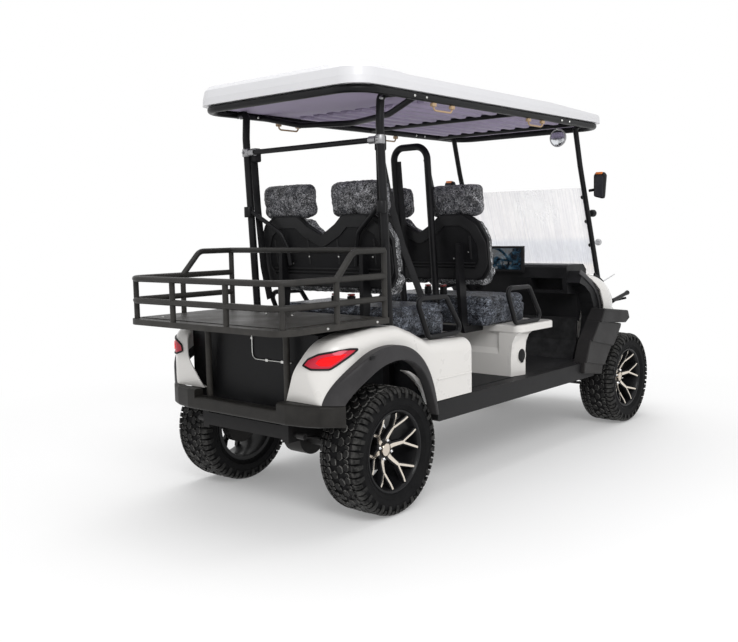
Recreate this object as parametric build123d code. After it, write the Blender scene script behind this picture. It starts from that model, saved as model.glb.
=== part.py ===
from build123d import *
from math import atan2, cos, degrees, hypot, pi, radians, sin, tan
import os

# A four-seat electric golf cart with a rear cargo basket and a hard canopy.
# Millimetres. +X is forward, +Y is the driver's left, +Z is up, and the ground is z = 0.
# While a piece is drawn, x = 0 is the rear axle. save() then moves it so that the middle
# of the whole cart's box stands over the origin.

os.makedirs("parts", exist_ok=True)

# ---------------------------------------------------------------- driving dimensions
WHEELBASE = 2430
REAR_OVERHANG = 622          # rear axle to the basket's rear edge
FRONT_OVERHANG = 470         # front axle to the front bumper's nose
SHIFT_X = (REAR_OVERHANG - FRONT_OVERHANG - WHEELBASE) / 2

RUNNING_FIT = 0.05           # radial, a shaft in its bore
FACE_GAP = 0.3               # between curved or stacked faces that stay apart
MOVING_GAP = 6               # a moving piece from its neighbour

# wheels and tyres
WHEEL_Y = 495                # middle of the tyre from the cart's centre line
TYRE_R = 292
TYRE_HALF_W = 115
TREAD_HALF_W = 92
BEAD_R = 178
RIM_HALF_W = 96
RIM_FLANGE_R = 190
RIM_WALL = 9
SPOKE_COUNT = 6
SPOKE_FORK_R = 108
DISH_TIP_Y = 93              # spoke face at the rim, outboard of the wheel's middle
DISH_HUB_Y = 30              # spoke face at the hub
SPOKE_DEPTH = 24
HUB_R = 56
HUB_BACK_Y = -5
SPINDLE_R = 18
SPINDLE_END_Y = 8            # past the wheel's middle
DRUM_R = 100
DRUM_W = 50

# running gear
AXLE_TUBE_R = 38
MOTOR_R = 92
MOTOR_LENGTH = 190
SPRING_W = 45
SPRING_LEAF = 7
SPRING_LEAVES = 3
SPRING_HALF_LENGTH = 330
SPRING_RISE = 38
SPRING_EYE_R = 14
SPRING_PIN_R = 8
BEAM_HALF_W = 25
BEAM_HALF_H = 25
FORK_BLOCK_Y = 365
REAR_SPRING_Y = 335
FRONT_SPRING_Y = 190

# steering
KINGPIN_Y = 400
KINGPIN_R = 10
KNUCKLE_BOSS_R = 19
KNUCKLE_BOSS_HALF_H = 41.5
FORK_PLATE = 18
STEER_ARM = 110
STEER_ARM_Z = 257
STEER_ARM_THICK = 14
TIE_ROD_R = 9
TIE_PIN_R = 6
COLUMN_R = 22
SHROUD_R = 38
STEERING_WHEEL_R = 170
STEERING_GRIP_R = 14
COWL_REAR_X = WHEELBASE - 445
DASH_REAR_X = COWL_REAR_X - 97
DASH_TOP = 1046
STEERING_X = WHEELBASE - 790
STEERING_Y = 250
STEERING_Z = 1055
STEERING_TILT = 38           # column's slope below the horizon, degrees
COLUMN_LENGTH = 430

# chassis and floor
RAIL_H = 80
RAIL_W = 40
RAIL_TOP = 438
RAIL_Y = 270
RAIL_BEND_X = WHEELBASE - 790
CHASSIS_REAR_X = -372
CHASSIS_FRONT_X = WHEELBASE + 360
REAR_FRAME_REAR_X = -301.7
REAR_FRAME_FRONT_X = 330
REAR_FRAME_TOP = 700
MIDDLE_MEMBER_X = RAIL_BEND_X - 640
POST_FOOT_X = 150
TOE_X = COWL_REAR_X + 60
TOE_HALF_W = 425
DASH_BOTTOM = 690
FRONT_RAIL_Y = 135
FLOOR_TOP = 455
FLOOR_REAR_X = 560
FLOOR_FRONT_X = COWL_REAR_X + 25
FLOOR_MAT = 4
SILL_OUT_Y = 570
SILL_W = 70
SILL_BOTTOM = 362
SILL_REAR_X = 352
SILL_FRONT_X = COWL_REAR_X

# canopy and its frame
CANOPY_REAR_X = -158
CANOPY_FRONT_X = WHEELBASE - 259
CANOPY_HALF_W = 547
CANOPY_LIP_Z = 1907
CANOPY_CORNER = 114
CANOPY_PROFILE = [
    # x, height of the top surface above the lip
    (-160, 88), (-118, 96), (-40, 96), (60, 80), (190, 67), (1500, 67), (CANOPY_FRONT_X, 43),
]
RING_TUBE = 37
RING_INSET = 24              # ring tube's middle, in from the canopy's edge
RING_CORNER = 130
CROSS_TUBE = 30
ROOF_CROSS_X = (1180, WHEELBASE - 560)
HANDLE_OFFSET = (295, 365)   # from each row's seat back
HANDLE_LENGTH = 150
HANDLE_DROP = 34
HANDLE_TUBE = 9
RING_Z = CANOPY_LIP_Z - FACE_GAP - RING_TUBE / 2
RING_Y = CANOPY_HALF_W - RING_INSET
POST_TUBE = 38
POST_Y = 448
PILLAR_TUBE = 32
MIRROR_X = WHEELBASE - 350
MIRROR_Y = (520, 600)
MIRROR_Z = (1440, 1610)
WINDSHIELD_HALF_W = 431.7
PANE = 6
PANE_LOW_X = WHEELBASE - 138
PANE_LOW_Z = 972
PANE_HIGH_Z = 1520
PANE_LEAN = 0.38             # rearward lean, per unit of height
PANE_CLIP_Z = (1160, 1310, 1460)

# seats
SEAT_HALF_W = 440
CUSHION_HALF_W = 424
SHELL_HALF_W = 445
REAR_SEAT_X = 185            # rear face of the seat-back shell at mid height
ROW_PITCH = 800
SHELL_BOTTOM = 1000
SHELL_TOP = 1360
HEADREST_TOP = 1512
SEAT_LEAN = 8                # degrees, seat back from upright
SHELL_THICK = 22
BACK_PAD_THICK = 95
CUSHION_TOP = 900
CUSHION_LENGTH = 500
RESTRAINT_Y = 500
RESTRAINT_TUBE = 26
RESTRAINT_TOP = 955
HEADREST_Y = 237
HEADREST_W = 325
SEAT_BOX_REAR_X = 1187
SEAT_BOX_HALF_W = 464
SEAT_BOX_STEP = 14
BELT_HOOP_X = 893
HOOP_Y = 115
HOOP_TOP = 1730
HOOP_FOOT_X = 1000

# basket
BASKET_FLOOR_TOP = 889
BASKET_FLOOR_THICK = 26
BASKET_HALF_W = 530
BASKET_FRONT_X = 30
BASKET_MID_X = -287
BASKET_TUBE = 28
BASKET_TOP_RAIL = BASKET_FLOOR_TOP + 187
BASKET_MID_RAIL = BASKET_FLOOR_TOP + 86
BASKET_RAISED_RAIL = BASKET_TOP_RAIL + 114
BASKET_LINER = 3
BASKET_CORNER = 90
STAY_X = -346
STAY_Y = 265

# body
BODY_WALL = 5
QUARTER_IN_Y = 425
REAR_FACE_IN_Y = 280
QUARTER_FRONT_X = 640
SEAT_PAN_Z = 745
WELL_X = -302
FRONT_ARCH_R = 398
QUARTER_OUT_Y = 570
REAR_CORNER_R = 190          # the rear corners, seen from above
REAR_BODY_X = -403
FLARE_OUT_Y = 622
FLARE_REAR_X = -377
BUMPER_REAR_X = -430
BUMPER_TOP = 548
BUMPER_BOTTOM = 452

# ---------------------------------------------------------------- helpers
def save(name, shape):
    """Move a finished piece from the rear-axle frame to the cart's frame and write it."""
    if isinstance(shape, (list, ShapeList)):
        shape = Compound(children=list(shape))
    placed = Pos(SHIFT_X, 0, 0) * shape
    placed.label = name
    export_step(placed, f"parts/{name}.step")


def span(x0, x1, y0, y1, z0, z1):
    """A box between two corners."""
    middle = ((x0 + x1) / 2, (y0 + y1) / 2, (z0 + z1) / 2)
    return Pos(*middle) * Box(abs(x1 - x0), abs(y1 - y0), abs(z1 - z0))


def both_sides(shape):
    """A left-hand piece and its mirror image."""
    left = shape if isinstance(shape, list) else [shape]
    return left + [mirror(s, about=Plane.XZ) for s in left]


def bar(start, end, radius):
    """A round bar between two points."""
    line = Vector(*end) - Vector(*start)
    return extrude(Plane(origin=start, z_dir=line) * Circle(radius), amount=line.length)


def tube(points, bend, diameter):
    """A round tube through points, its corners bent to the given radius or radii."""
    if len(points) == 2:
        return bar(points[0], points[1], diameter / 2)
    path = FilletPolyline(*points, radius=bend)
    start = Vector(*points[0])
    section = Plane(origin=start, z_dir=Vector(*points[1]) - start) * Circle(diameter / 2)
    return sweep(section, path=path)


def side_plate(points, y0, y1):
    """A plate with an outline in x and z, from y0 to y1."""
    face = make_face(Polyline(*[(x, 0, z) for x, z in points], close=True))
    return Pos(0, min(y0, y1), 0) * extrude(face, amount=abs(y1 - y0), dir=(0, 1, 0))


def rounded_plate(points, y0, y1, radius):
    """A side plate whose corners are rounded in outline."""
    wire = FilletPolyline(*[(x, 0, z) for x, z in points], radius=radius, close=True)
    return Pos(0, min(y0, y1), 0) * extrude(make_face(wire), amount=abs(y1 - y0), dir=(0, 1, 0))


def floor_plate(points, z0, z1):
    """A plate with an outline in x and y, from z0 to z1."""
    face = make_face(Polyline(*[(x, y, 0) for x, y in points], close=True))
    return Pos(0, 0, z0) * extrude(face, amount=z1 - z0, dir=(0, 0, 1))


def cross_cylinder(radius, x, z, y0, y1):
    """A cylinder that lies along Y."""
    return Pos(x, (y0 + y1) / 2, z) * Rot(90, 0, 0) * Cylinder(radius, abs(y1 - y0))


def turned(points, axis=Axis.Y):
    """A solid turned about Y from an outline of (y, radius) points."""
    face = make_face(Polyline(*[(0, y, r) for y, r in points], close=True))
    return revolve(face, axis=axis)


# ---------------------------------------------------------------- wheels
def make_tyre():
    half = [
        # y, radius
        (RIM_HALF_W - 8 - FACE_GAP, BEAD_R + FACE_GAP),
        (RIM_HALF_W - 8 - FACE_GAP, RIM_FLANGE_R + 1),
        (TYRE_HALF_W - 4, 215),
        (TYRE_HALF_W, 240),
        (TYRE_HALF_W - 5, 268),
        (TREAD_HALF_W, TYRE_R - 4),
        (TREAD_HALF_W - 26, TYRE_R),
    ]
    return turned(half + [(-y, r) for y, r in reversed(half)])


def spoke_blade(start, end, width_start, width_end):
    """One tapered arm of a spoke, in the wheel's plane, as (x, z) corners."""
    run = hypot(end[0] - start[0], end[1] - start[1])
    nx, nz = -(end[1] - start[1]) / run, (end[0] - start[0]) / run
    return [
        (start[0] + nx * width_start / 2, start[1] + nz * width_start / 2),
        (end[0] + nx * width_end / 2, end[1] + nz * width_end / 2),
        (end[0] - nx * width_end / 2, end[1] - nz * width_end / 2),
        (start[0] - nx * width_start / 2, start[1] - nz * width_start / 2),
    ]


def polar(radius, angle):
    return (radius * cos(radians(angle)), radius * sin(radians(angle)))


def make_rim():
    inner_r = BEAD_R - RIM_WALL
    barrel = turned([
        (-RIM_HALF_W, inner_r), (-RIM_HALF_W, RIM_FLANGE_R), (-RIM_HALF_W + 8, RIM_FLANGE_R),
        (-RIM_HALF_W + 8, BEAD_R), (RIM_HALF_W - 8, BEAD_R), (RIM_HALF_W - 8, RIM_FLANGE_R),
        (RIM_HALF_W, RIM_FLANGE_R), (RIM_HALF_W, inner_r),
    ])
    tip_r = inner_r + 4
    dish = turned([
        (HUB_BACK_Y, 1), (DISH_HUB_Y, 1), (DISH_HUB_Y, HUB_R), (DISH_TIP_Y, tip_r),
        (DISH_TIP_Y - SPOKE_DEPTH, tip_r), (HUB_BACK_Y, HUB_R),
    ])
    arms = Pos(0, -TYRE_HALF_W, 0) * cross_cylinder(HUB_R, 0, 0, 0, 2 * TYRE_HALF_W)
    for number in range(SPOKE_COUNT):
        middle = 10 + number * 360 / SPOKE_COUNT
        fork = polar(SPOKE_FORK_R, middle)
        blades = [(polar(HUB_R - 12, middle), polar(SPOKE_FORK_R + 6, middle), 30, 26)]
        for side in (-15, 15):
            blades.append((fork, polar(tip_r + 8, middle + side), 20, 17))
        for start, end, width_start, width_end in blades:
            corners = spoke_blade(start, end, width_start, width_end)
            arms += side_plate(corners, -TYRE_HALF_W, TYRE_HALF_W)
    spider = dish & arms
    cap = turned([(DISH_HUB_Y - 2, 1), (DISH_HUB_Y + 14, 1), (DISH_HUB_Y + 14, 26), (DISH_HUB_Y - 2, 32)])
    centre = turned([(DISH_HUB_Y - 12, 0), (DISH_HUB_Y + 14, 0), (DISH_HUB_Y + 14, 5), (DISH_HUB_Y - 12, 5)])
    wheel = barrel + spider + cap + centre
    bore = cross_cylinder(SPINDLE_R + RUNNING_FIT, 0, 0, HUB_BACK_Y - 1, SPINDLE_END_Y + 1)
    return wheel - bore


def place_wheels():
    tyre = make_tyre()
    rim = make_rim()
    for end, x in (("rear", 0), ("front", WHEELBASE)):
        left = Pos(x, WHEEL_Y, TYRE_R)
        save(f"tyre_{end}_left", left * tyre)
        save(f"rim_{end}_left", left * rim)
        save(f"tyre_{end}_right", mirror(left * tyre, about=Plane.XZ))
        save(f"rim_{end}_right", mirror(left * rim, about=Plane.XZ))


# ---------------------------------------------------------------- running gear
def make_rear_axle():
    drum_in_y = WHEEL_Y + HUB_BACK_Y - MOVING_GAP - DRUM_W
    axle = cross_cylinder(AXLE_TUBE_R, 0, TYRE_R, -drum_in_y, drum_in_y)
    for side in (-1, 1):
        axle += cross_cylinder(DRUM_R, 0, TYRE_R, side * drum_in_y, side * (drum_in_y + DRUM_W))
        axle += cross_cylinder(SPINDLE_R, 0, TYRE_R, side * drum_in_y, side * (WHEEL_Y + SPINDLE_END_Y))
    axle += cross_cylinder(88, 0, TYRE_R, -75, 40)
    axle += span(40, 190, -60, 40, TYRE_R - 70, TYRE_R + 62)
    return axle


def make_drive_motor():
    return cross_cylinder(MOTOR_R, 150, TYRE_R, 40 + FACE_GAP, 40 + MOTOR_LENGTH - FACE_GAP)


def leaf_spring(x_middle, y, axle_top):
    """A stack of leaves on an axle, with an eye at each end of the top leaf."""
    top_leaf_z = axle_top + FACE_GAP + (SPRING_LEAVES - 1) * SPRING_LEAF
    spring = None
    for leaf in range(SPRING_LEAVES):
        half = SPRING_HALF_LENGTH * (1 - 0.25 * leaf)
        lift = SPRING_RISE * (half / SPRING_HALF_LENGTH) ** 2
        z = top_leaf_z - leaf * SPRING_LEAF
        low = ThreePointArc((x_middle - half, 0, z + lift), (x_middle, 0, z), (x_middle + half, 0, z + lift))
        high = Pos(0, 0, SPRING_LEAF) * low
        face = make_face([low, Line(low @ 1, high @ 1), high, Line(low @ 0, high @ 0)])
        piece = Pos(0, y - SPRING_W / 2, 0) * extrude(face, amount=SPRING_W, dir=(0, 1, 0))
        spring = piece if spring is None else spring + piece
    for side in (-1, 1):
        eye_x, eye_z = spring_eye(x_middle, side, axle_top)
        spring += cross_cylinder(SPRING_EYE_R, eye_x, eye_z, y - SPRING_W / 2, y + SPRING_W / 2)
        spring -= cross_cylinder(SPRING_PIN_R + RUNNING_FIT, eye_x, eye_z, y - SPRING_W, y + SPRING_W)
    return spring


def spring_eye(x_middle, side, axle_top):
    """Where a spring's eye is, in x and z."""
    top_leaf_z = axle_top + FACE_GAP + (SPRING_LEAVES - 1) * SPRING_LEAF
    return x_middle + side * (SPRING_HALF_LENGTH + 6), top_leaf_z + SPRING_RISE + SPRING_EYE_R - 6


def make_springs():
    rear = leaf_spring(0, REAR_SPRING_Y, TYRE_R + AXLE_TUBE_R)
    front = leaf_spring(WHEELBASE, FRONT_SPRING_Y, TYRE_R + BEAM_HALF_H)
    save("leaf_springs", both_sides(rear) + both_sides(front))


def make_front_axle():
    x, z = WHEELBASE, TYRE_R
    axle = span(x - BEAM_HALF_W, x + BEAM_HALF_W, -FORK_BLOCK_Y, FORK_BLOCK_Y, z - BEAM_HALF_H, z + BEAM_HALF_H)
    fork_in = KNUCKLE_BOSS_HALF_H + FACE_GAP
    fork_out = fork_in + FORK_PLATE
    for side in (-1, 1):
        axle += span(x - BEAM_HALF_W, x + BEAM_HALF_W, side * (FORK_BLOCK_Y - 34), side * FORK_BLOCK_Y,
                     z - fork_out, z + fork_out)
        for low, high in ((-fork_out, -fork_in), (fork_in, fork_out)):
            axle += span(x - BEAM_HALF_W, x + BEAM_HALF_W, side * (FORK_BLOCK_Y - 34), side * KINGPIN_Y, z + low, z + high)
            axle += Pos(x, side * KINGPIN_Y, z + (low + high) / 2) * Cylinder(BEAM_HALF_W, FORK_PLATE)
        axle += Pos(x, side * KINGPIN_Y, z) * Cylinder(KINGPIN_R, 2 * fork_out)
    return axle


def make_knuckle():
    """The left steering knuckle: boss, spindle, drum and steering arm."""
    x, z = WHEELBASE, TYRE_R
    knuckle = Pos(x, KINGPIN_Y, z) * Cylinder(KNUCKLE_BOSS_R, 2 * KNUCKLE_BOSS_HALF_H)
    drum_out = WHEEL_Y + HUB_BACK_Y - MOVING_GAP
    knuckle += cross_cylinder(SPINDLE_R, x, z, KINGPIN_Y, WHEEL_Y + SPINDLE_END_Y)
    knuckle += cross_cylinder(DRUM_R - 8, x, z, drum_out - DRUM_W, drum_out)
    arm_z = (STEER_ARM_Z, STEER_ARM_Z + STEER_ARM_THICK)
    knuckle += span(x - STEER_ARM, x, KINGPIN_Y - 11, KINGPIN_Y + 11, *arm_z)
    knuckle += Pos(x - STEER_ARM, KINGPIN_Y, sum(arm_z) / 2) * Cylinder(15, STEER_ARM_THICK)
    knuckle -= Pos(x, KINGPIN_Y, z) * Cylinder(KINGPIN_R + RUNNING_FIT, 4 * KNUCKLE_BOSS_HALF_H)
    knuckle -= Pos(x - STEER_ARM, KINGPIN_Y, sum(arm_z) / 2) * Cylinder(TIE_PIN_R + RUNNING_FIT, 40)
    return knuckle


def make_tie_rod():
    """The rod between the two steering arms, with a ball-joint block and a pin at each end."""
    x = WHEELBASE - STEER_ARM
    rod_z = STEER_ARM_Z - FACE_GAP - 13
    rod = cross_cylinder(TIE_ROD_R, x, rod_z, -KINGPIN_Y, KINGPIN_Y)
    pin_top = STEER_ARM_Z + STEER_ARM_THICK + 3
    for side in (-1, 1):
        rod += Pos(x, side * KINGPIN_Y, rod_z) * Cylinder(14, 26)
        rod += Pos(x, side * KINGPIN_Y, (rod_z + pin_top) / 2) * Cylinder(TIE_PIN_R, pin_top - rod_z)
    return rod


def make_running_gear():
    save("rear_axle", make_rear_axle())
    save("drive_motor", make_drive_motor())
    make_springs()
    save("front_axle", make_front_axle())
    knuckle = make_knuckle()
    save("knuckle_left", knuckle)
    save("knuckle_right", mirror(knuckle, about=Plane.XZ))
    save("tie_rod", make_tie_rod())


# ---------------------------------------------------------------- chassis, floor and sills
def make_chassis():
    low, high = RAIL_TOP - RAIL_H, RAIL_TOP
    half = RAIL_W / 2
    rail = floor_plate([
        (CHASSIS_REAR_X, RAIL_Y - half), (CHASSIS_REAR_X, RAIL_Y + half), (RAIL_BEND_X, RAIL_Y + half),
        (RAIL_BEND_X + 240, FRONT_RAIL_Y + half), (CHASSIS_FRONT_X, FRONT_RAIL_Y + half),
        (CHASSIS_FRONT_X, FRONT_RAIL_Y - half), (RAIL_BEND_X + 240, FRONT_RAIL_Y - half),
        (RAIL_BEND_X, RAIL_Y - half),
    ], low, high)
    frame = rail + mirror(rail, about=Plane.XZ)
    cross_members = [
        # middle x, half width along y
        (CHASSIS_REAR_X + 20, RAIL_Y), (REAR_FRAME_FRONT_X + 20, RAIL_Y), (MIDDLE_MEMBER_X, RAIL_Y),
        (RAIL_BEND_X, RAIL_Y), (CHASSIS_FRONT_X - 20, FRONT_RAIL_Y),
    ]
    for x, reach in cross_members:
        frame += span(x - 20, x + 20, -reach, reach, low + 15, high - 5)
    for x in (REAR_FRAME_FRONT_X + 130, MIDDLE_MEMBER_X, RAIL_BEND_X - 220, RAIL_BEND_X + 200):
        reach = SILL_OUT_Y - SILL_W - FACE_GAP
        frame += span(x - 20, x + 20, -reach, reach, high - 42, high - 2)
    for side in (-1, 1):
        inner, outer = side * (RAIL_Y - half), side * (RAIL_Y + half)
        for x0, x1 in ((REAR_FRAME_REAR_X, REAR_FRAME_REAR_X + 40), (REAR_FRAME_FRONT_X, REAR_FRAME_FRONT_X + 40)):
            frame += span(x0, x1, inner, outer, high - 5, REAR_FRAME_TOP)
        frame += span(REAR_FRAME_REAR_X, REAR_FRAME_FRONT_X + 40, inner, outer, REAR_FRAME_TOP - 40, REAR_FRAME_TOP)
    frame += span(POST_FOOT_X - 25, POST_FOOT_X + 25, -POST_Y - 25, POST_Y + 25, REAR_FRAME_TOP - 40, REAR_FRAME_TOP)
    for x_middle, y, axle_top, rail_y in (
        (0, REAR_SPRING_Y, TYRE_R + AXLE_TUBE_R, RAIL_Y),
        (WHEELBASE, FRONT_SPRING_Y, TYRE_R + BEAM_HALF_H, FRONT_RAIL_Y),
    ):
        for end in (-1, 1):
            eye_x, eye_z = spring_eye(x_middle, end, axle_top)
            for side in (-1, 1):
                frame += cross_cylinder(SPRING_PIN_R, eye_x, eye_z, side * rail_y, side * (y + SPRING_W / 2))
    return frame


def make_floor():
    half = SILL_OUT_Y - SILL_W - FACE_GAP
    deck = span(FLOOR_REAR_X, FLOOR_FRONT_X, -half, half, RAIL_TOP + FACE_GAP, FLOOR_TOP)
    toe = side_plate([
        (FLOOR_FRONT_X - 30, FLOOR_TOP - 5), (FLOOR_FRONT_X, RAIL_TOP + FACE_GAP), (TOE_X, 560), (TOE_X, DASH_BOTTOM + 20),
        (TOE_X - 12, DASH_BOTTOM + 20), (TOE_X - 12, 565),
    ], -TOE_HALF_W, TOE_HALF_W)
    mat = span(QUARTER_FRONT_X + 12, SEAT_BOX_REAR_X - 18, 20 - half, half - 20, FLOOR_TOP - 1, FLOOR_TOP + FLOOR_MAT)
    return deck + mat + toe


def make_sill():
    sill = rounded_plate([
        (SILL_REAR_X, SILL_BOTTOM), (SILL_REAR_X, FLOOR_TOP + 4), (SILL_FRONT_X, FLOOR_TOP + 4), (SILL_FRONT_X, SILL_BOTTOM),
    ], SILL_OUT_Y - SILL_W, SILL_OUT_Y, 12)
    return sill


def make_pedals():
    pedals = []
    for y, width in ((330, 70), (210, 90)):
        pad = Pos(TOE_X - 70, y, 600) * Rot(0, -35, 0) * Box(12, width, 110)
        arm = bar((TOE_X - 70, y, 600), (TOE_X - 12 - FACE_GAP, y, 600), 9)
        pedals.append(pad + arm)
    return pedals


def make_structure():
    save("chassis_frame", make_chassis())
    save("floor_pan", make_floor())
    save("side_sills", both_sides(make_sill()))
    save("pedals", make_pedals())
    save("battery_pack", span(REAR_FRAME_FRONT_X + 46, 625, -430, 430, FLOOR_TOP + FACE_GAP, 690))


# ---------------------------------------------------------------- rear body
def quarter_outline(inset):
    """The rear side panel in x and z, its top drawn as one flowing line."""
    face = make_face(Polyline(*[(x, 0, z) for x, z in [
        (-370, BUMPER_TOP), (-398, 690), (-345, 812), (-240, 835), (-60, 850), (90, 848), (190, 812),
        (320, 752), (QUARTER_FRONT_X, 738), (QUARTER_FRONT_X, FLOOR_TOP + 8), (300, FLOOR_TOP + 8),
        (200, FLOOR_TOP + 8), (0, FLOOR_TOP + 8), (-300, BUMPER_TOP),
    ]], close=True))
    if inset:
        face = offset(face, amount=-inset, kind=Kind.INTERSECTION)
    top_corners = face.vertices().filter_by(lambda v: v.Z > 670 - inset and v.X < 500)
    return fillet(top_corners, 100 if inset else 104)


def corner_block(outer_y, rear_x, radius):
    """A tall block with one rear corner rounded in plan, for trimming the rear body."""
    corner_x, corner_y = rear_x + radius, outer_y - radius
    reach = radius * sin(pi / 4)
    front_x = QUARTER_FRONT_X + 100
    face = make_face([
        Line((rear_x, 0), (rear_x, corner_y)),
        ThreePointArc((rear_x, corner_y), (corner_x - reach, corner_y + reach), (corner_x, outer_y)),
        Line((corner_x, outer_y), (front_x, outer_y)), Line((front_x, outer_y), (front_x, 0)),
        Line((front_x, 0), (rear_x, 0)),
    ])
    return Pos(0, 0, SILL_BOTTOM) * extrude(face, amount=600, dir=(0, 0, 1))


def quarter_form(inset, inboard_y):
    """The rear side panel as a solid, its outer edges rounded, drawn inset from its true surface."""
    outer_y, rear_x, radius = QUARTER_OUT_Y - inset, REAR_BODY_X + inset, REAR_CORNER_R - inset
    form = Pos(0, inboard_y, 0) * extrude(quarter_outline(inset), amount=outer_y - inboard_y, dir=(0, 1, 0))
    form = form & corner_block(outer_y, rear_x, radius)

    def is_top_edge(edge):
        middle = edge @ 0.5
        on_corner = abs(hypot(middle.X - rear_x - radius, middle.Y - outer_y + radius) - radius) < 1
        if abs(middle.Y - outer_y) < 1:
            return middle.Z > 730 - inset and middle.X < 600
        return on_corner and middle.X < rear_x + radius and middle.Y > outer_y - radius and middle.Z > 560

    return fillet(form.edges().filter_by(is_top_edge), 58 - inset)


def arch_curve(points):
    """A smooth line through (x, z) points."""
    return Spline(*[(x, 0, z) for x, z in points])


def arch_region(points, y0, y1):
    """Everything under a smooth arch line, from y0 to y1."""
    line = arch_curve(points)
    low = min(z for _, z in points) - 120
    sides = [Line(line @ 0, (points[0][0], 0, low)), Line((points[0][0], 0, low), (points[-1][0], 0, low)),
             Line((points[-1][0], 0, low), line @ 1)]
    return Pos(0, y0, 0) * extrude(make_face([line] + sides), amount=y1 - y0, dir=(0, 1, 0))


def rear_arch_points(grow):
    """The rear arch's outer outline, grown outwards."""
    return [(x * (1 + grow / 330), TYRE_R + (z - TYRE_R) * (1 + grow / 430)) for x, z in [
        (-368, BUMPER_TOP), (-326, 648), (-200, 742), (-40, 775), (98, 750), (206, 665), (266, 550), (298, 415),
    ]]


REAR_ARCH_INNER = [
    # x, z
    (-306, BUMPER_TOP), (-272, 600), (-165, 672), (-25, 706), (85, 692), (175, 632), (232, 545), (277, 415),
]


def make_quarter():
    """One rear side panel: a shell with an open underside, cut for the wheel and the seat post."""
    shell = quarter_form(0, REAR_FACE_IN_Y) - quarter_form(BODY_WALL, REAR_FACE_IN_Y - 10)
    shell -= span(-450, QUARTER_FRONT_X - BODY_WALL, REAR_FACE_IN_Y - 20, QUARTER_OUT_Y - BODY_WALL,
                  380, FLOOR_TOP + 8 + BODY_WALL + 0.5)
    slant = make_face(Polyline(*[(-500, y, z) for y, z in [
        (REAR_FACE_IN_Y - 40, 500), (REAR_FACE_IN_Y, 545), (QUARTER_IN_Y, 815), (QUARTER_IN_Y, 900),
        (REAR_FACE_IN_Y - 40, 900),
    ]], close=True))
    shell -= extrude(slant, amount=210, dir=(1, 0, 0))
    shell -= span(WELL_X, QUARTER_FRONT_X + 20, REAR_FACE_IN_Y - 20, QUARTER_IN_Y, 380, 900)
    shell -= arch_region(rear_arch_points(-24), REAR_FACE_IN_Y - 20, QUARTER_OUT_Y + 20)
    post_half = POST_TUBE / 2 + 2
    return shell - span(90, 180, QUARTER_IN_Y - 20, POST_Y + post_half, REAR_FRAME_TOP, 900)


TAIL_LAMP_REAR = [
    # y, z, seen from behind
    (408, 716), (428, 742), (480, 765), (600, 790), (600, 702), (455, 702),
]
TAIL_LAMP_SIDE = [
    # x, z, seen from the side
    (-480, 690), (-345, 702), (-298, 735), (-221, 779), (-300, 786), (-480, 800),
]


def tail_lamp_region():
    """Where the tail lamp cuts through the rear corner. It is a leaf shape that ends in a point."""
    rear_face = make_face(Polyline(*[(-600, y, z) for y, z in TAIL_LAMP_REAR], close=True))
    return extrude(rear_face, amount=420, dir=(1, 0, 0)) & side_plate(TAIL_LAMP_SIDE, 300, 640)


def make_rear_body():
    lamp_region = tail_lamp_region()
    quarter = make_quarter() - lamp_region
    lamp = (quarter_form(-3, REAR_FACE_IN_Y) - quarter_form(BODY_WALL + 6, REAR_FACE_IN_Y - 30)) & lamp_region
    lamp -= arch_region(rear_arch_points(4), QUARTER_OUT_Y - 40, QUARTER_OUT_Y + 20)
    save("rear_quarter_panels", both_sides(quarter))
    save("tail_lamps", both_sides(lamp))
    half = QUARTER_IN_Y - FACE_GAP
    seat_base = span(QUARTER_FRONT_X - BODY_WALL - 1, QUARTER_FRONT_X, -half, half, FLOOR_TOP + FACE_GAP, SEAT_PAN_Z)
    seat_base += span(POST_FOOT_X + 60, QUARTER_FRONT_X, -half, half, SEAT_PAN_Z - BODY_WALL, SEAT_PAN_Z)
    save("rear_seat_base", seat_base)
    well_half = QUARTER_IN_Y - 2
    well = span(WELL_X - 8, WELL_X, -well_half, well_half, BUMPER_BOTTOM, 835)
    well += span(WELL_X - 8, 0, -well_half, well_half, 827, 835)
    save("rear_well_panel", well)


def make_rear_bumper():
    outline = [
        (BUMPER_REAR_X, 0), (BUMPER_REAR_X, 330), (BUMPER_REAR_X + 18, 425), (BUMPER_REAR_X + 48, 492),
        (BUMPER_REAR_X + 84, 540), (BUMPER_REAR_X + 120, 576), (BUMPER_REAR_X + 124, 520), (-352, 470), (-378, 400),
        (-378, 0),
    ]
    full = outline + [(x, -y) for x, y in reversed(outline)][1:-1]
    bumper = floor_plate(full, BUMPER_BOTTOM, BUMPER_TOP - FACE_GAP)
    bumper -= span(BUMPER_REAR_X - 5, -370, -278, 278, BUMPER_TOP - 34, BUMPER_TOP + 10)
    rear_edges = bumper.edges().filter_by(
        lambda e: (e @ 0.5).X < -352 and (e @ 0.5).X < BUMPER_REAR_X + 1 + max(0, abs((e @ 0.5).Y) - 325) * 0.45
        and abs((e @ 0).Z - (e @ 1).Z) < 1)
    return fillet(rear_edges, 14)


# ---------------------------------------------------------------- front body
COWL_SECTIONS = [
    # x, half width, top z, top corner radius
    (COWL_REAR_X, 520, 1000, 70),
    (COWL_REAR_X + 215, 552, 962, 110),
    (WHEELBASE + 20, 464, 888, 125),
    (WHEELBASE + 270, 362, 790, 120),
    (WHEELBASE + 420, 330, 655, 90),
    (WHEELBASE + 445, 310, 590, 50),
]
COWL_BOTTOM = 470
DASH_CHEEK_Y = 520
DASH_CHEEK_FRONT_X = COWL_REAR_X + 178


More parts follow.
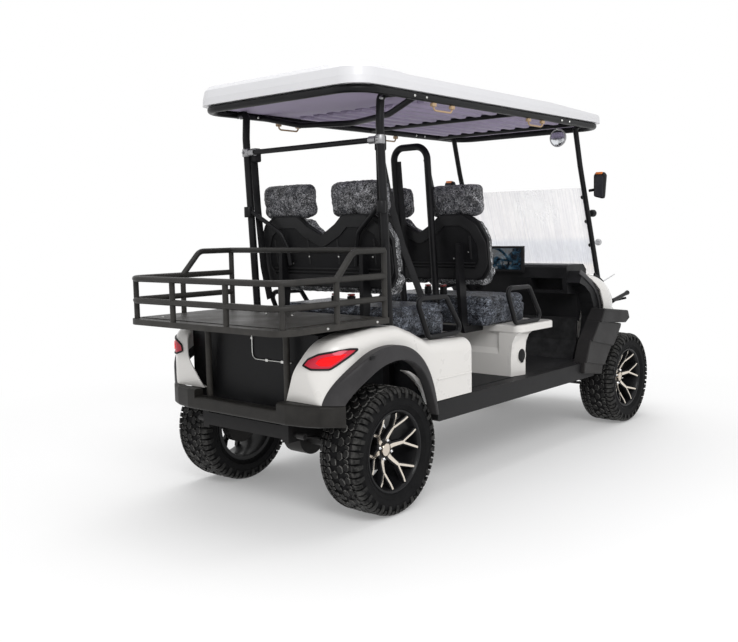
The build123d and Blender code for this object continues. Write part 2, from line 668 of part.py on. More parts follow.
def cowl_form(inset):
    """The front body as a lofted solid, drawn inset from its true surface."""
    wires = []
    for number, (x, half, top, corner) in enumerate(COWL_SECTIONS):
        along = x - (inset if number == len(COWL_SECTIONS) - 1 else 0)
        half, top, corner = half - inset, top - inset, corner - inset
        sketch = Plane(origin=(along, 0, 0), x_dir=(0, 1, 0), z_dir=(1, 0, 0))
        low = COWL_BOTTOM - (20 if inset else 0)
        left = Line((half, low), (half, top - corner))
        turn_left = ThreePointArc((half, top - corner), (half - corner * (1 - sin(pi / 4)), top - corner * (1 - sin(pi / 4))),
                                  (half - corner, top))
        roof = Line((half - corner, top), (corner - half, top))
        turn_right = ThreePointArc((corner - half, top), (corner * (1 - sin(pi / 4)) - half, top - corner * (1 - sin(pi / 4))),
                                   (-half, top - corner))
        right = Line((-half, top - corner), (-half, low))
        base = Line((-half, low), (half, low))
        wires.append(sketch * make_face([left, turn_left, roof, turn_right, right, base]))
    return loft(wires)


def dash_arc(grow):
    """The curved side edge of the footwell in x and z, from the top to the floor."""
    return [(COWL_REAR_X + x + grow, z) for x, z in [
        (-60, 1010), (46, 958), (127, 884), (165, 795), (173, 705), (155, 628), (120, 545), (50, FLOOR_TOP + 6),
    ]]


def make_cowl():
    shell = cowl_form(0) - cowl_form(BODY_WALL)
    behind = dash_arc(FACE_GAP) + [
        (COWL_REAR_X + 15, 400), (COWL_REAR_X - 185, 400), (COWL_REAR_X - 185, 1100), (COWL_REAR_X - 60, 1100),
    ]
    shell -= side_plate(behind, -700, 700)
    arch = cross_cylinder(FRONT_ARCH_R, WHEELBASE, TYRE_R, 200, 700)
    shell -= arch
    shell -= mirror(arch, about=Plane.XZ)
    return shell


HEADLAMP = [
    # y, z, seen from the front
    (150, 690), (170, 650), (300, 660), (420, 735), (260, 735),
]


def make_rear_flare():
    """The rear arch moulding, which follows the body's rounded rear corner."""
    inner_y = QUARTER_OUT_Y - 140
    flare = arch_region(rear_arch_points(0), inner_y, FLARE_OUT_Y) - arch_region(REAR_ARCH_INNER, inner_y - 5, FLARE_OUT_Y + 5)
    flare = flare & corner_block(FLARE_OUT_Y, FLARE_REAR_X, REAR_CORNER_R) & span(-400, 400, inner_y, FLARE_OUT_Y, 415, 900)
    flare -= span(-400, -200, inner_y - 5, FLARE_OUT_Y + 5, 400, BUMPER_TOP)
    for radius in (14, 6):       # the long outer edge, then the long inner edge
        outside = flare.edges().filter_by(lambda e: abs((e @ 0.5).Y - FLARE_OUT_Y) < 1).sort_by(Edge.length)
        flare = fillet(outside[-1 if radius == 14 else -2], radius)
    return flare - corner_block(QUARTER_OUT_Y + FACE_GAP, REAR_BODY_X - FACE_GAP, REAR_CORNER_R + FACE_GAP)


def make_front_body():
    cowl = make_cowl()
    prism = extrude(make_face(Polyline(*[(WHEELBASE + 190, y, z) for y, z in HEADLAMP], close=True)), amount=300, dir=(1, 0, 0))
    lamp = (cowl_form(-2) - cowl_form(BODY_WALL + 14)) & prism
    cowl -= both_sides(prism)[0]
    cowl -= both_sides(prism)[1]
    save("front_cowl", cowl)
    save("headlamps", both_sides(lamp))
    save("bumpers", [make_rear_bumper(), make_front_bumper()])
    save("arch_flares", both_sides(make_rear_flare()) + both_sides(make_front_flare()))


def make_front_bumper():
    outline = [
        (WHEELBASE + FRONT_OVERHANG, 0), (WHEELBASE + FRONT_OVERHANG, 260), (WHEELBASE + FRONT_OVERHANG - 30, 400),
        (WHEELBASE + FRONT_OVERHANG - 95, 480), (CHASSIS_FRONT_X, 480), (CHASSIS_FRONT_X, 330), (CHASSIS_FRONT_X + FACE_GAP, 300),
        (CHASSIS_FRONT_X + FACE_GAP, 0),
    ]
    full = outline + [(x, -y) for x, y in reversed(outline)][1:-1]
    return floor_plate(full, 372, COWL_BOTTOM - FACE_GAP)


FRONT_FLARE_STEPS = [
    # outer y, then the block's outline in x and z
    (622, [(-403, 778), (-72, 741), (-46, 690), (-100, 664), (-456, 696)]),
    (613, [(-452, 704), (-150, 664), (-158, 640), (-258, 530), (-556, 590)]),
    (604, [(-556, 600), (-258, 540), (-290, 508), (-368, 420), (-611, 465)]),
    (595, [(-611, 472), (-368, 430), (-385, 366), (-620, 400)]),
]


def make_front_flare():
    """Stepped blocks, each one tucked under the one above, between the cowl and the sill."""
    flare = None
    for outer_y, outline in FRONT_FLARE_STEPS:
        block = rounded_plate([(WHEELBASE + x, z) for x, z in outline], 470, outer_y, 8)
        block = chamfer(block.faces().sort_by(Axis.Y)[-1].edges(), 5)
        flare = block if flare is None else flare + block
    flare -= cowl_form(-FACE_GAP)
    flare -= span(WHEELBASE - 700, DASH_CHEEK_FRONT_X, 400, DASH_CHEEK_Y + FACE_GAP, 300, 900)
    return flare - span(WHEELBASE - 700, SILL_FRONT_X + FACE_GAP, 400, SILL_OUT_Y + FACE_GAP, 300, FLOOR_TOP + 4 + FACE_GAP)


# ---------------------------------------------------------------- dash and steering
def make_dashboard():
    main = side_plate([
        (DASH_REAR_X + 17, 870), (DASH_REAR_X, 965), (DASH_REAR_X + 4, 1030), (DASH_REAR_X + 22, DASH_TOP), (COWL_REAR_X + 125, DASH_TOP),
        (COWL_REAR_X + 165, 1010), (COWL_REAR_X + 165, 950), (TOE_X + 15, DASH_BOTTOM), (TOE_X + 5, DASH_BOTTOM),
        (COWL_REAR_X + 45, 860),
    ], -430, 430)
    hood_x = COWL_REAR_X - FACE_GAP
    main -= cowl_form(-FACE_GAP) & span(hood_x, hood_x + 315, -700, 700, 900, 1100)
    main -= span(hood_x, hood_x + 315, -700, 700, 900, 960)
    for y in (-290, 290):
        main -= span(DASH_REAR_X - 40, DASH_REAR_X + 92, y - 110, y + 110, 890, 965)
    for side in (-1, 1):
        inner = [(COWL_REAR_X + x, z) for x, z in [
            (10, FLOOR_TOP + 6), (67, 560), (93, 640), (103, 720), (85, 800), (45, 868), (-25, 915), (-97, 940),
        ]]
        main += side_plate(dash_arc(0) + inner, side * 430, side * DASH_CHEEK_Y)
    frame = steering_frame()
    main -= frame * Pos(0, 0, -300) * Cylinder(COLUMN_R + FACE_GAP, 400)
    main -= frame * Pos(0, 0, -110) * Cylinder(SHROUD_R + FACE_GAP, 110 + 2 * FACE_GAP)
    return main


def make_display():
    screen = span(DASH_REAR_X - 24, DASH_REAR_X - 6, -142, 118, 996, 1164)
    stand = span(DASH_REAR_X - 6, DASH_REAR_X + 60, -60, 36, DASH_TOP + FACE_GAP, DASH_TOP + 30)
    return screen + stand


def steering_frame():
    """Coordinates on the steering axis: local Z runs up the column to the driver."""
    slope = radians(STEERING_TILT)
    up = Vector(-cos(slope), 0, sin(slope))
    return Plane(origin=(STEERING_X, STEERING_Y, STEERING_Z), x_dir=(0, 1, 0), z_dir=up)


def make_steering_column():
    frame = steering_frame()
    column = frame * Pos(0, 0, -COLUMN_LENGTH / 2 - 40) * Cylinder(COLUMN_R, COLUMN_LENGTH)
    column += frame * Pos(0, 0, -110) * Cylinder(SHROUD_R, 110)
    column += frame * Pos(0, 0, -20) * Cylinder(11, 52)
    return column


def make_steering_wheel():
    frame = steering_frame()
    ring = frame * Torus(STEERING_WHEEL_R, STEERING_GRIP_R)
    hub = frame * Pos(0, 0, -6) * Cylinder(40, 34)
    wheel = ring + hub
    for angle in (0, 90, 180):
        wheel += frame * Rot(0, 0, angle) * Pos(STEERING_WHEEL_R / 2, 0, 0) * Box(STEERING_WHEEL_R - 8, 34, 10)
    bore = frame * Pos(0, 0, -20) * Cylinder(11 + RUNNING_FIT, 53)
    return wheel - bore


# ---------------------------------------------------------------- seats
def seat_back_outline(half, bottom, top, notch):
    """A seat back seen from behind: two rounded humps with a dip between them."""
    return [
        (-half + 40, bottom), (-half, bottom + 60), (-half, top - 130), (-half + 45, top - 45), (-half + 120, top),
        (-150, top), (-95, top - 45), (0, notch), (95, top - 45), (150, top), (half - 120, top),
        (half - 45, top - 45), (half, top - 130), (half, bottom + 60), (half - 40, bottom),
    ]


def seat_plane(x):
    """The rear face of a seat back: local X is across, local Y is up the seat."""
    lean = radians(SEAT_LEAN)
    return Plane(origin=(x, 0, (SHELL_BOTTOM + SHELL_TOP) / 2), x_dir=(0, 1, 0), z_dir=(cos(lean), 0, sin(lean)))


def seat_slab(x, half, bottom, top, notch, depth0, depth1, radius):
    """A slab of the seat back between two depths forward of the shell's rear face."""
    plane = seat_plane(x)
    middle = (SHELL_BOTTOM + SHELL_TOP) / 2
    points = [(y, z - middle) for y, z in seat_back_outline(half, bottom, top, notch)]
    wire = FilletPolyline(*points, radius=radius, close=True)
    return plane * Pos(0, 0, depth0) * extrude(make_face(wire), amount=depth1 - depth0)


def make_seat_row(row, x):
    pad = seat_slab(x, SEAT_HALF_W - 8, SHELL_BOTTOM - 60, SHELL_TOP - 8, 1254, SHELL_THICK + FACE_GAP,
                    SHELL_THICK + BACK_PAD_THICK, 22)
    plane = seat_plane(x)
    middle = (SHELL_BOTTOM + SHELL_TOP) / 2
    rests = []
    for side in (-1, 1):
        low, high = SHELL_TOP + 14 - middle, HEADREST_TOP - middle
        rest = plane * Pos(side * HEADREST_Y, (low + high) / 2, 50) * Box(HEADREST_W, high - low, 95)
        rest = fillet(rest.edges(), 30)
        stem = plane * Pos(side * HEADREST_Y, low - FACE_GAP - 27, 50) * Box(90, 54, 20)
        rests.append(rest)
        pad += stem
    save(f"{row}_back_pad", pad)
    cushion = span(x + 45, x + CUSHION_LENGTH, -CUSHION_HALF_W, CUSHION_HALF_W, SEAT_PAN_Z + FACE_GAP, CUSHION_TOP)
    cushion = fillet(cushion.edges().filter_by(Axis.Z), 60)
    save(f"{row}_cushion", cushion)
    return rests


def make_seats():
    shells, rests = [], []
    for row, x in (("rear", REAR_SEAT_X), ("front", REAR_SEAT_X + ROW_PITCH)):
        rests += make_seat_row(row, x)
        shells.append(seat_slab(x, SHELL_HALF_W, SHELL_BOTTOM, SHELL_TOP, 1262, 0, SHELL_THICK, 24))
    save("seat_shells", shells)
    save("headrests", rests)
    save("front_seat_box", make_front_seat_box())
    restraints = []
    for x, base_z in ((REAR_SEAT_X, SEAT_PAN_Z + 4), (REAR_SEAT_X + ROW_PITCH, SEAT_PAN_Z)):
        restraints += both_sides(make_hip_restraint(x, base_z))
    save("hip_restraints", restraints)
    save("seat_frames", make_seat_frames() + [make_belt_hoop()])


def seat_box_block(wall, rear_step, z0, z1):
    """The box under the front seat between two heights, drawn inset by its wall."""
    rear, half = SEAT_BOX_REAR_X, SEAT_BOX_HALF_W - wall
    outline = [(rear + wall + rear_step, half), (rear + 110 - wall, half + 28), (rear + 260 - wall, 400 - wall)]
    return floor_plate(outline + [(x, -y) for x, y in reversed(outline)], z0, z1)


def make_front_seat_box():
    """A moulded box with a set-back upper rear face, a spreading column at each rear corner, and a wide lip."""
    top = SEAT_PAN_Z - 40
    box = seat_box_block(0, 0, FLOOR_TOP + FACE_GAP, top + 2)
    recess = side_plate([(SEAT_BOX_REAR_X - 1, 575), (SEAT_BOX_REAR_X - 1, top + 5), (SEAT_BOX_REAR_X + SEAT_BOX_STEP, top + 5),
                         (SEAT_BOX_REAR_X + SEAT_BOX_STEP, 610)], -385, 385)
    column = [(400, 575), (SEAT_BOX_HALF_W, 560), (SEAT_BOX_HALF_W + 9, 640), (SEAT_BOX_HALF_W + 26, 682),
              (SEAT_BOX_HALF_W + 56, top + 2), (400, top + 2)]
    column_face = make_face(Polyline(*[(SEAT_BOX_REAR_X, y, z) for y, z in column], close=True))
    box += both_sides(extrude(column_face, amount=150, dir=(1, 0, 0)))
    box -= recess
    hollow = seat_box_block(BODY_WALL, 0, FLOOR_TOP - 5, 570)
    hollow += seat_box_block(BODY_WALL, SEAT_BOX_STEP, 565, top + 10)
    lip = span(SEAT_BOX_REAR_X - 5, SEAT_BOX_REAR_X + 385, -530, 530, top, SEAT_PAN_Z)
    lip = fillet(lip.edges().filter_by(Axis.Z), 50)
    lip = fillet(lip.faces().sort_by(Axis.Z)[-1].edges(), 12)
    hollow += span(SEAT_BOX_REAR_X + 45, SEAT_BOX_REAR_X + 340, -380, 380, top - 5, SEAT_PAN_Z - BODY_WALL)
    return lip + box - hollow


def make_hip_restraint(x, base_z):
    """A padded loop beside the cushion that keeps a rider in. base_z is the face it stands on."""
    z = base_z + FACE_GAP + RESTRAINT_TUBE / 2
    path = FilletPolyline(*[
        (x + 190, RESTRAINT_Y, z), (x + 100, RESTRAINT_Y, RESTRAINT_TOP), (x + 335, RESTRAINT_Y, RESTRAINT_TOP - 5),
        (x + 480, RESTRAINT_Y, z),
    ], radius=30, close=True)
    section = Plane(origin=path @ 0, z_dir=path % 0) * Circle(RESTRAINT_TUBE / 2)
    return sweep(section, path=path)


def shell_rear_x(x, z):
    """Where the rear face of a seat-back shell is at height z."""
    return x - (z - (SHELL_BOTTOM + SHELL_TOP) / 2) * tan(radians(SEAT_LEAN))


def make_seat_frames():
    """The steel brackets that carry each seat back from below and behind."""
    low_z, high_z = SHELL_BOTTOM, 1200
    frames = []
    x = REAR_SEAT_X
    rear = side_plate([
        (POST_FOOT_X, REAR_FRAME_TOP + FACE_GAP), (POST_FOOT_X + 24, REAR_FRAME_TOP + FACE_GAP),
        (shell_rear_x(x, low_z) - FACE_GAP, low_z), (shell_rear_x(x, high_z) - FACE_GAP, high_z),
        (shell_rear_x(x, high_z) - 32, high_z),
    ], 262, 286)
    frames += both_sides(rear)
    x = REAR_SEAT_X + ROW_PITCH
    flange_x = SEAT_BOX_REAR_X - 5 - FACE_GAP
    front = side_plate([
        (shell_rear_x(x, high_z) - 32, high_z), (shell_rear_x(x, high_z) - FACE_GAP, high_z),
        (shell_rear_x(x, low_z) - FACE_GAP, low_z), (x + 44, 765), (x + 44, SEAT_PAN_Z), (flange_x, SEAT_PAN_Z),
        (flange_x, SEAT_PAN_Z - 38), (x + 15, SEAT_PAN_Z - 38), (x - 10, 765), (x - 35, low_z),
    ], 262, 286)
    front += mirror(front, about=Plane.XZ)
    front += span(HOOP_FOOT_X - 20, HOOP_FOOT_X + 20, -270, 270, SEAT_PAN_Z - 32, SEAT_PAN_Z)
    frames.append(front)
    return frames


# ---------------------------------------------------------------- belts, canopy and its frame
def make_belt_hoop():
    foot_z = SEAT_PAN_Z + FACE_GAP
    return tube([(HOOP_FOOT_X - 18, HOOP_Y, foot_z), (BELT_HOOP_X, HOOP_Y, HOOP_TOP), (BELT_HOOP_X, -HOOP_Y, HOOP_TOP),
                 (HOOP_FOOT_X - 18, -HOOP_Y, foot_z)], 70, 38)


def make_rear_posts():
    posts = []
    foot_z = REAR_FRAME_TOP + FACE_GAP + 1
    ring = ring_tube(RING_TUBE + 2 * FACE_GAP)
    for side in (-1, 1):
        posts.append(tube([(POST_FOOT_X, side * POST_Y, foot_z), (98, side * POST_Y, 1760), (106, side * POST_Y, RING_Z - 1),
                           (114, side * RING_Y, RING_Z - 1)], [300, 30], POST_TUBE) - ring)
    bar_y = POST_Y - POST_TUBE / 2 - FACE_GAP
    posts.append(cross_cylinder(13, 99, 1688, -bar_y, bar_y))
    return posts


def make_pillars():
    pillars = []
    low_x, low_z, high_x, high_z = WHEELBASE - 205, 1100, WHEELBASE - 405, 1650
    cowl = cowl_form(-FACE_GAP)
    ring = ring_tube(RING_TUBE + 2 * FACE_GAP)
    for side in (-1, 1):
        pillar = tube([
            (WHEELBASE - 134, side * POST_Y, 900), (low_x, side * POST_Y, low_z), (high_x, side * POST_Y, high_z),
            (WHEELBASE - 475, side * POST_Y, RING_Z), (WHEELBASE - 477, side * RING_Y, RING_Z),
        ], [300, 200, 30], PILLAR_TUBE) - cowl - ring
        for z in PANE_CLIP_Z:
            x = low_x + (high_x - low_x) * (z - low_z) / (high_z - low_z)
            reach = ((pane_rear_x(z) - x) - FACE_GAP) * cos(atan2(PANE_LEAN, 1))
            start = Vector(x, side * (WINDSHIELD_HALF_W - 3), z)
            normal = Vector(cos(atan2(PANE_LEAN, 1)), 0, sin(atan2(PANE_LEAN, 1)))
            pillar += bar(start, start + normal * reach, 12)
        pillars.append(pillar)
    return pillars


def ring_tube(diameter):
    """The tube that runs right round under the canopy's lip."""
    rear, front = CANOPY_REAR_X + RING_INSET, CANOPY_FRONT_X - RING_INSET
    path = FilletPolyline((rear, -RING_Y, RING_Z), (front, -RING_Y, RING_Z), (front, RING_Y, RING_Z), (rear, RING_Y, RING_Z),
                          radius=RING_CORNER, close=True)
    return sweep(Plane(origin=path @ 0, z_dir=path % 0) * Circle(diameter / 2), path=path)


def make_roof_frame():
    """The ring, a cross tube that dips clear of the riders' heads, and two straight ones."""
    frame = ring_tube(RING_TUBE)
    frame += tube([(270, -RING_Y, RING_Z), (345, -300, 1834), (430, 0, 1826), (345, 300, 1834), (270, RING_Y, RING_Z)],
                  [130, 200, 130], CROSS_TUBE)
    for x in ROOF_CROSS_X:
        frame += cross_cylinder(CROSS_TUBE / 2, x, RING_Z + 2, -RING_Y, RING_Y)
    return frame


def canopy_form():
    """The moulded roof: steep sides, a soft edge, and a top that is thickest at the rear."""
    levels = [
        # height above the lip, how far in from the lip
        (0, 0), (34, 2), (72, 10), (92, 28), (98, 60),
    ]
    faces = []
    middle = (CANOPY_REAR_X + CANOPY_FRONT_X) / 2
    length = CANOPY_FRONT_X - CANOPY_REAR_X
    for height, step in levels:
        rectangle = RectangleRounded(length - 2 * step, 2 * (CANOPY_HALF_W - step), CANOPY_CORNER - step * 0.5)
        faces.append(Pos(middle, 0, CANOPY_LIP_Z + height) * rectangle)
    return loft(faces, ruled=True)


def make_canopy():
    above = [(x, CANOPY_LIP_Z + height) for x, height in CANOPY_PROFILE]
    above += [(CANOPY_FRONT_X, CANOPY_LIP_Z + 200), (CANOPY_PROFILE[0][0], CANOPY_LIP_Z + 200)]
    return canopy_form() - side_plate(above, -CANOPY_HALF_W - 1, CANOPY_HALF_W + 1)


def make_grab_handles():
    """A small loop under each roof rail beside every seat."""
    handles = []
    top_z = RING_Z - RING_TUBE / 2 - FACE_GAP
    half = HANDLE_LENGTH / 2
    for row, offset in enumerate(HANDLE_OFFSET):
        x = REAR_SEAT_X + row * ROW_PITCH + offset
        handle = tube([(x - half, RING_Y, top_z), (x - half, RING_Y, top_z - HANDLE_DROP),
                       (x + half, RING_Y, top_z - HANDLE_DROP), (x + half, RING_Y, top_z)], 20, HANDLE_TUBE)
        handles += both_sides(handle)
    return handles


def make_windshield():
    """Two panes: the upper one is folded forward and down against the lower one."""
    panes = []
    for forward, low, high in ((0, PANE_LOW_Z, PANE_HIGH_Z), (PANE + FACE_GAP, PANE_LOW_Z + 38, PANE_HIGH_Z - 8)):
        rear_low, rear_high = pane_rear_x(low) + forward, pane_rear_x(high) + forward
        panes.append(side_plate([(rear_low, low), (rear_high, high), (rear_high + PANE, high), (rear_low + PANE, low)],
                                -WINDSHIELD_HALF_W, WINDSHIELD_HALF_W))
    return panes


def pane_rear_x(z):
    """Where the rear face of the lower windshield pane is at height z."""
    return PANE_LOW_X - (z - PANE_LOW_Z) * PANE_LEAN


def make_mirrors():
    mirrors = []
    for side in (-1, 1):
        housing = span(MIRROR_X - 30, MIRROR_X + 10, side * MIRROR_Y[0], side * MIRROR_Y[1], *MIRROR_Z)
        arm = bar((MIRROR_X, side * 530, 1500), (MIRROR_X, side * (POST_Y + PILLAR_TUBE / 2 + 0.5), 1500), 8)
        mirrors.append(housing + arm)
    return mirrors


# ---------------------------------------------------------------- basket
def basket_rail(z):
    """One rail round the sides and rear of the basket."""
    half = BASKET_HALF_W - BASKET_TUBE / 2
    rear = -REAR_OVERHANG + BASKET_TUBE / 2
    return tube([(BASKET_FRONT_X, -half, z), (rear, -half, z), (rear, half, z), (BASKET_FRONT_X, half, z)],
                BASKET_CORNER, BASKET_TUBE)


def make_basket_frame():
    half = BASKET_HALF_W - BASKET_TUBE / 2
    rear = -REAR_OVERHANG + BASKET_TUBE / 2
    frame = basket_rail(BASKET_TOP_RAIL) + basket_rail(BASKET_MID_RAIL)
    base = BASKET_FLOOR_TOP + FACE_GAP
    posts = [
        # x, y, top z
        (BASKET_FRONT_X, half, BASKET_RAISED_RAIL), (BASKET_MID_X, half, BASKET_TOP_RAIL),
        (rear, 180, BASKET_TOP_RAIL), (rear + BASKET_CORNER * 0.3, half - BASKET_CORNER * 0.3, BASKET_TOP_RAIL),
    ]
    for x, y, top in posts:
        for side in (-1, 1):
            frame += bar((x, side * y, base), (x, side * y, top), BASKET_TUBE / 2 - 1)
    for side in (-1, 1):
        frame += tube([(BASKET_FRONT_X, side * half, BASKET_RAISED_RAIL), (BASKET_MID_X + 110, side * half, BASKET_RAISED_RAIL),
                       (BASKET_MID_X, side * half, BASKET_TOP_RAIL)], 60, BASKET_TUBE)
    frame += cross_cylinder(BASKET_TUBE / 2, BASKET_FRONT_X, BASKET_RAISED_RAIL, -half, half)
    return frame


def make_basket_floor():
    plate = span(-REAR_OVERHANG, BASKET_FRONT_X + 14, -BASKET_HALF_W, BASKET_HALF_W,
                 BASKET_FLOOR_TOP - BASKET_FLOOR_THICK, BASKET_FLOOR_TOP)
    rear_edges = plate.edges().filter_by(Axis.Z).sort_by(Axis.X)[:2]
    liner = span(BASKET_CORNER / 2 - REAR_OVERHANG + 15, BASKET_FRONT_X - 30, 52 - BASKET_HALF_W, BASKET_HALF_W - 52,
                 BASKET_FLOOR_TOP - 1, BASKET_FLOOR_TOP + BASKET_LINER)
    return fillet(rear_edges, BASKET_CORNER) + liner


def make_basket_stays():
    stays = []
    for side in (-1, 1):
        stays.append(bar((STAY_X, side * STAY_Y, RAIL_TOP + FACE_GAP),
                         (STAY_X, side * STAY_Y, BASKET_FLOOR_TOP - BASKET_FLOOR_THICK - FACE_GAP), 15))
    return stays


# ---------------------------------------------------------------- build
place_wheels()
make_running_gear()
make_structure()
make_rear_body()
make_front_body()
save("dashboard", make_dashboard())
save("display", make_display())
save("steering_column", make_steering_column())
save("steering_wheel", make_steering_wheel())
make_seats()
save("rear_posts", make_rear_posts())
save("windshield_pillars", make_pillars())
save("roof_frame", make_roof_frame())
save("canopy", make_canopy())
save("grab_handles", make_grab_handles())
save("windshield", make_windshield())
save("side_mirrors", make_mirrors())
save("basket_frame", [make_basket_frame()] + make_basket_stays())
save("basket_floor", make_basket_floor())
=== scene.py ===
# %% [markdown]
# # A four-seat golf cart with a rear cargo basket
# The CAD model gives every solid and every joint. This notebook dresses it: each cell makes one
# piece or one finish, says what it is on the real cart, and puts it on the CAD body that carries it.

from math import atan2, cos, hypot, pi, radians, sin, tan

import bmesh
import bpy
from mathutils import Matrix, Vector
from mathutils.bvhtree import BVHTree
from mathutils.noise import noise


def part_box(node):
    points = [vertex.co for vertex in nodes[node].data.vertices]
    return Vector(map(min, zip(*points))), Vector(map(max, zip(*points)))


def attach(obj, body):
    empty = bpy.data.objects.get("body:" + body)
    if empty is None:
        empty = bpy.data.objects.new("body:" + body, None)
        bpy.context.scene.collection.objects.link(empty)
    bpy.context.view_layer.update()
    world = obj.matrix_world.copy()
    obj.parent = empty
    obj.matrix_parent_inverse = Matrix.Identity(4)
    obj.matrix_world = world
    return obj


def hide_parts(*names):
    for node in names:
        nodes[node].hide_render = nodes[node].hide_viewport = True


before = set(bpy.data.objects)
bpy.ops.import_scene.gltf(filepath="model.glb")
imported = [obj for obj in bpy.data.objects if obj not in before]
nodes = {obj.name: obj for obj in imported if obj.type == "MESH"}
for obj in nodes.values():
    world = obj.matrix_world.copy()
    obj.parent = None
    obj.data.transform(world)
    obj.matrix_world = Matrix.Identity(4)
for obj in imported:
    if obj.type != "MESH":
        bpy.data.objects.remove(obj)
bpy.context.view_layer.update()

# %% [markdown]
# ## Where things are
# Carts are measured from the rear axle, so the rear axle's place and the wheelbase are read from the
# CAD wheels. Pieces are drawn in metres from the rear axle and moved once, when their mesh is made.

# %% Axles
def corners_of(node):
    low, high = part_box(node)
    return Vector(low), Vector(high)


def middle_of(node):
    return sum(corners_of(node), Vector()) / 2


REAR_X = middle_of("rim_rear_right").x
WHEELBASE = middle_of("rim_front_right").x - REAR_X
WHEEL_Y = abs(middle_of("rim_rear_right").y)
TYRE_R = middle_of("tyre_rear_right").z
SIDES = (-1, 1)              # the cart's right and left
X, Y, Z = Vector((1, 0, 0)), Vector((0, 1, 0)), Vector((0, 0, 1))
print("rear axle at", round(REAR_X, 4), "wheelbase", round(WHEELBASE, 3), "tyre radius", round(TYRE_R, 3))

# %% [markdown]
# ## Turning a bmesh into a piece
# Every piece is built with bmesh, which keeps the shape in plain code. One helper writes it to an
# object at the origin, hangs it on its body and names the finish slot.

# %% Piece helper
def mesh_from(name, bm):
    mesh = bpy.data.meshes.new(name)
    bm.to_mesh(mesh)
    bm.free()
    return mesh


def linked(name, data):
    thing = bpy.data.objects.new(name, data)
    bpy.context.scene.collection.objects.link(thing)
    return thing


def finish_piece(name, bm, materials, body="cart", smooth=40, shift=True, stands_for=()):
    """Writes a bmesh to an object at the origin and lets it ride on a CAD body."""
    if shift:
        bmesh.ops.translate(bm, verts=bm.verts, vec=(REAR_X, 0, 0))
    mesh = mesh_from(name, bm)
    for material in materials if isinstance(materials, list) else [materials]:
        mesh.materials.append(material)
    piece = linked(name, mesh)
    mesh.shade_smooth()
    mesh.set_sharp_from_angle(angle=radians(smooth))
    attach(piece, body)
    if stands_for:
        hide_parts(*stands_for)
    return piece


def settled(piece):
    """Applies a piece's modifiers to its mesh, so that it is a plain mesh."""
    graph = bpy.context.evaluated_depsgraph_get()
    mesh = bpy.data.meshes.new_from_object(piece.evaluated_get(graph))
    piece.modifiers.clear()
    piece.data = mesh


def reverse_if_inward(bm, faces):
    bmesh.ops.recalc_face_normals(bm, faces=faces)
    if faces[0].normal.dot(faces[0].calc_center_median()) < 0:
        bmesh.ops.reverse_faces(bm, faces=faces)


def skin_rings(bm, rings, closed=False, material=0):
    """Joins rings of points, in order, with quads, and gives the quads back."""
    faces = []
    for ring, following in zip(rings, rings[1:] + rings[:1] if closed else rings[1:]):
        for k in range(len(ring)):
            beside = (k + 1) % len(ring)
            faces.append(bm.faces.new((ring[k], ring[beside], following[beside], following[k])))
            faces[-1].material_index = material
    return faces

# %% [markdown]
# ## Tubes, bars and straps
# The basket, posts and handles are bent steel tube. A tube is a circle carried along a path whose
# corners are rounded first, the way a bender does it; a strap is the same with a flat section.

# %% Bent paths
def bent_path(points, bend, closed=False, steps=7):
    """Points along a path whose corners are eased within the bend radius."""
    points = [Vector(p) for p in points]
    count = len(points)
    path = [] if closed else [points[0]]
    for number in range(count) if closed else range(1, count - 1):
        here, before, after = points[number], points[number - 1], points[(number + 1) % count]
        into, out = (here - before).normalized(), (after - here).normalized()
        turn = into.angle(out)
        reach = min(bend * tan(turn / 2), 0.49 * (here - before).length, 0.49 * (after - here).length)
        if turn < 0.01 or reach < 1e-5:
            path.append(here)
            continue
        start, end = here - into * reach, here + out * reach
        for step in range(steps + 1):
            t = step / steps
            path.append(start * (1 - t) ** 2 + here * (2 * t * (1 - t)) + end * t ** 2)
    if not closed:
        path.append(points[-1])
    return path


def sweep(bm, path, section, closed=False, up=Z, material=0, scale=None):
    """Carries a closed section of (across, up) points along a path and closes the ends."""
    path = [Vector(point) for point in path]
    rings = []
    count = len(path)
    for number, point in enumerate(path):
        before = path[number - 1] if number or closed else point
        after = path[(number + 1) % count] if number < count - 1 or closed else point
        ahead = (after - before).normalized()
        side = ahead.cross(up)
        side = side.normalized() if side.length > 1e-4 else ahead.cross(X).normalized()
        rise = side.cross(ahead)
        grow = scale[number] if scale else 1
        rings.append([bm.verts.new(point + side * a * grow + rise * b * grow) for a, b in section])
    skin_rings(bm, rings, closed, material)
    if not closed:
        for ring in (list(reversed(rings[0])), rings[-1]):
            bm.faces.new(ring).material_index = material


def circle(radius, sides=14):
    return oval(radius, radius, sides)


def oval(across, up, count=32):
    return [(across * cos(2 * pi * k / count), -up * sin(2 * pi * k / count)) for k in range(count)]


def slab(width, thick):
    """A flat strap's section with its corners taken off."""
    w, t, c = width / 2, thick / 2, min(width, thick) * 0.2
    right = [(w - c, t), (w, t - c), (w, -t + c), (w - c, -t)]
    return [(-w, -t + c), (-w, t - c), (-w + c, t), *right, (-w + c, -t)]


def steel_tube(bm, points, radius, bend, up, sides=12):
    sweep(bm, bent_path(points, bend), circle(radius, sides), up=up)

# %% [markdown]
# ## Bevelled blocks and plates
# Moulded and machined parts never have perfect corners. Small boxes and side plates get a real
# bevel, so that light catches their edges.

# %% Blocks and plates
def bevelled(bm, edges, offset, segments):
    bmesh.ops.bevel(bm, geom=edges, offset=offset, segments=segments, profile=0.5, affect="EDGES",
                    material=-1)


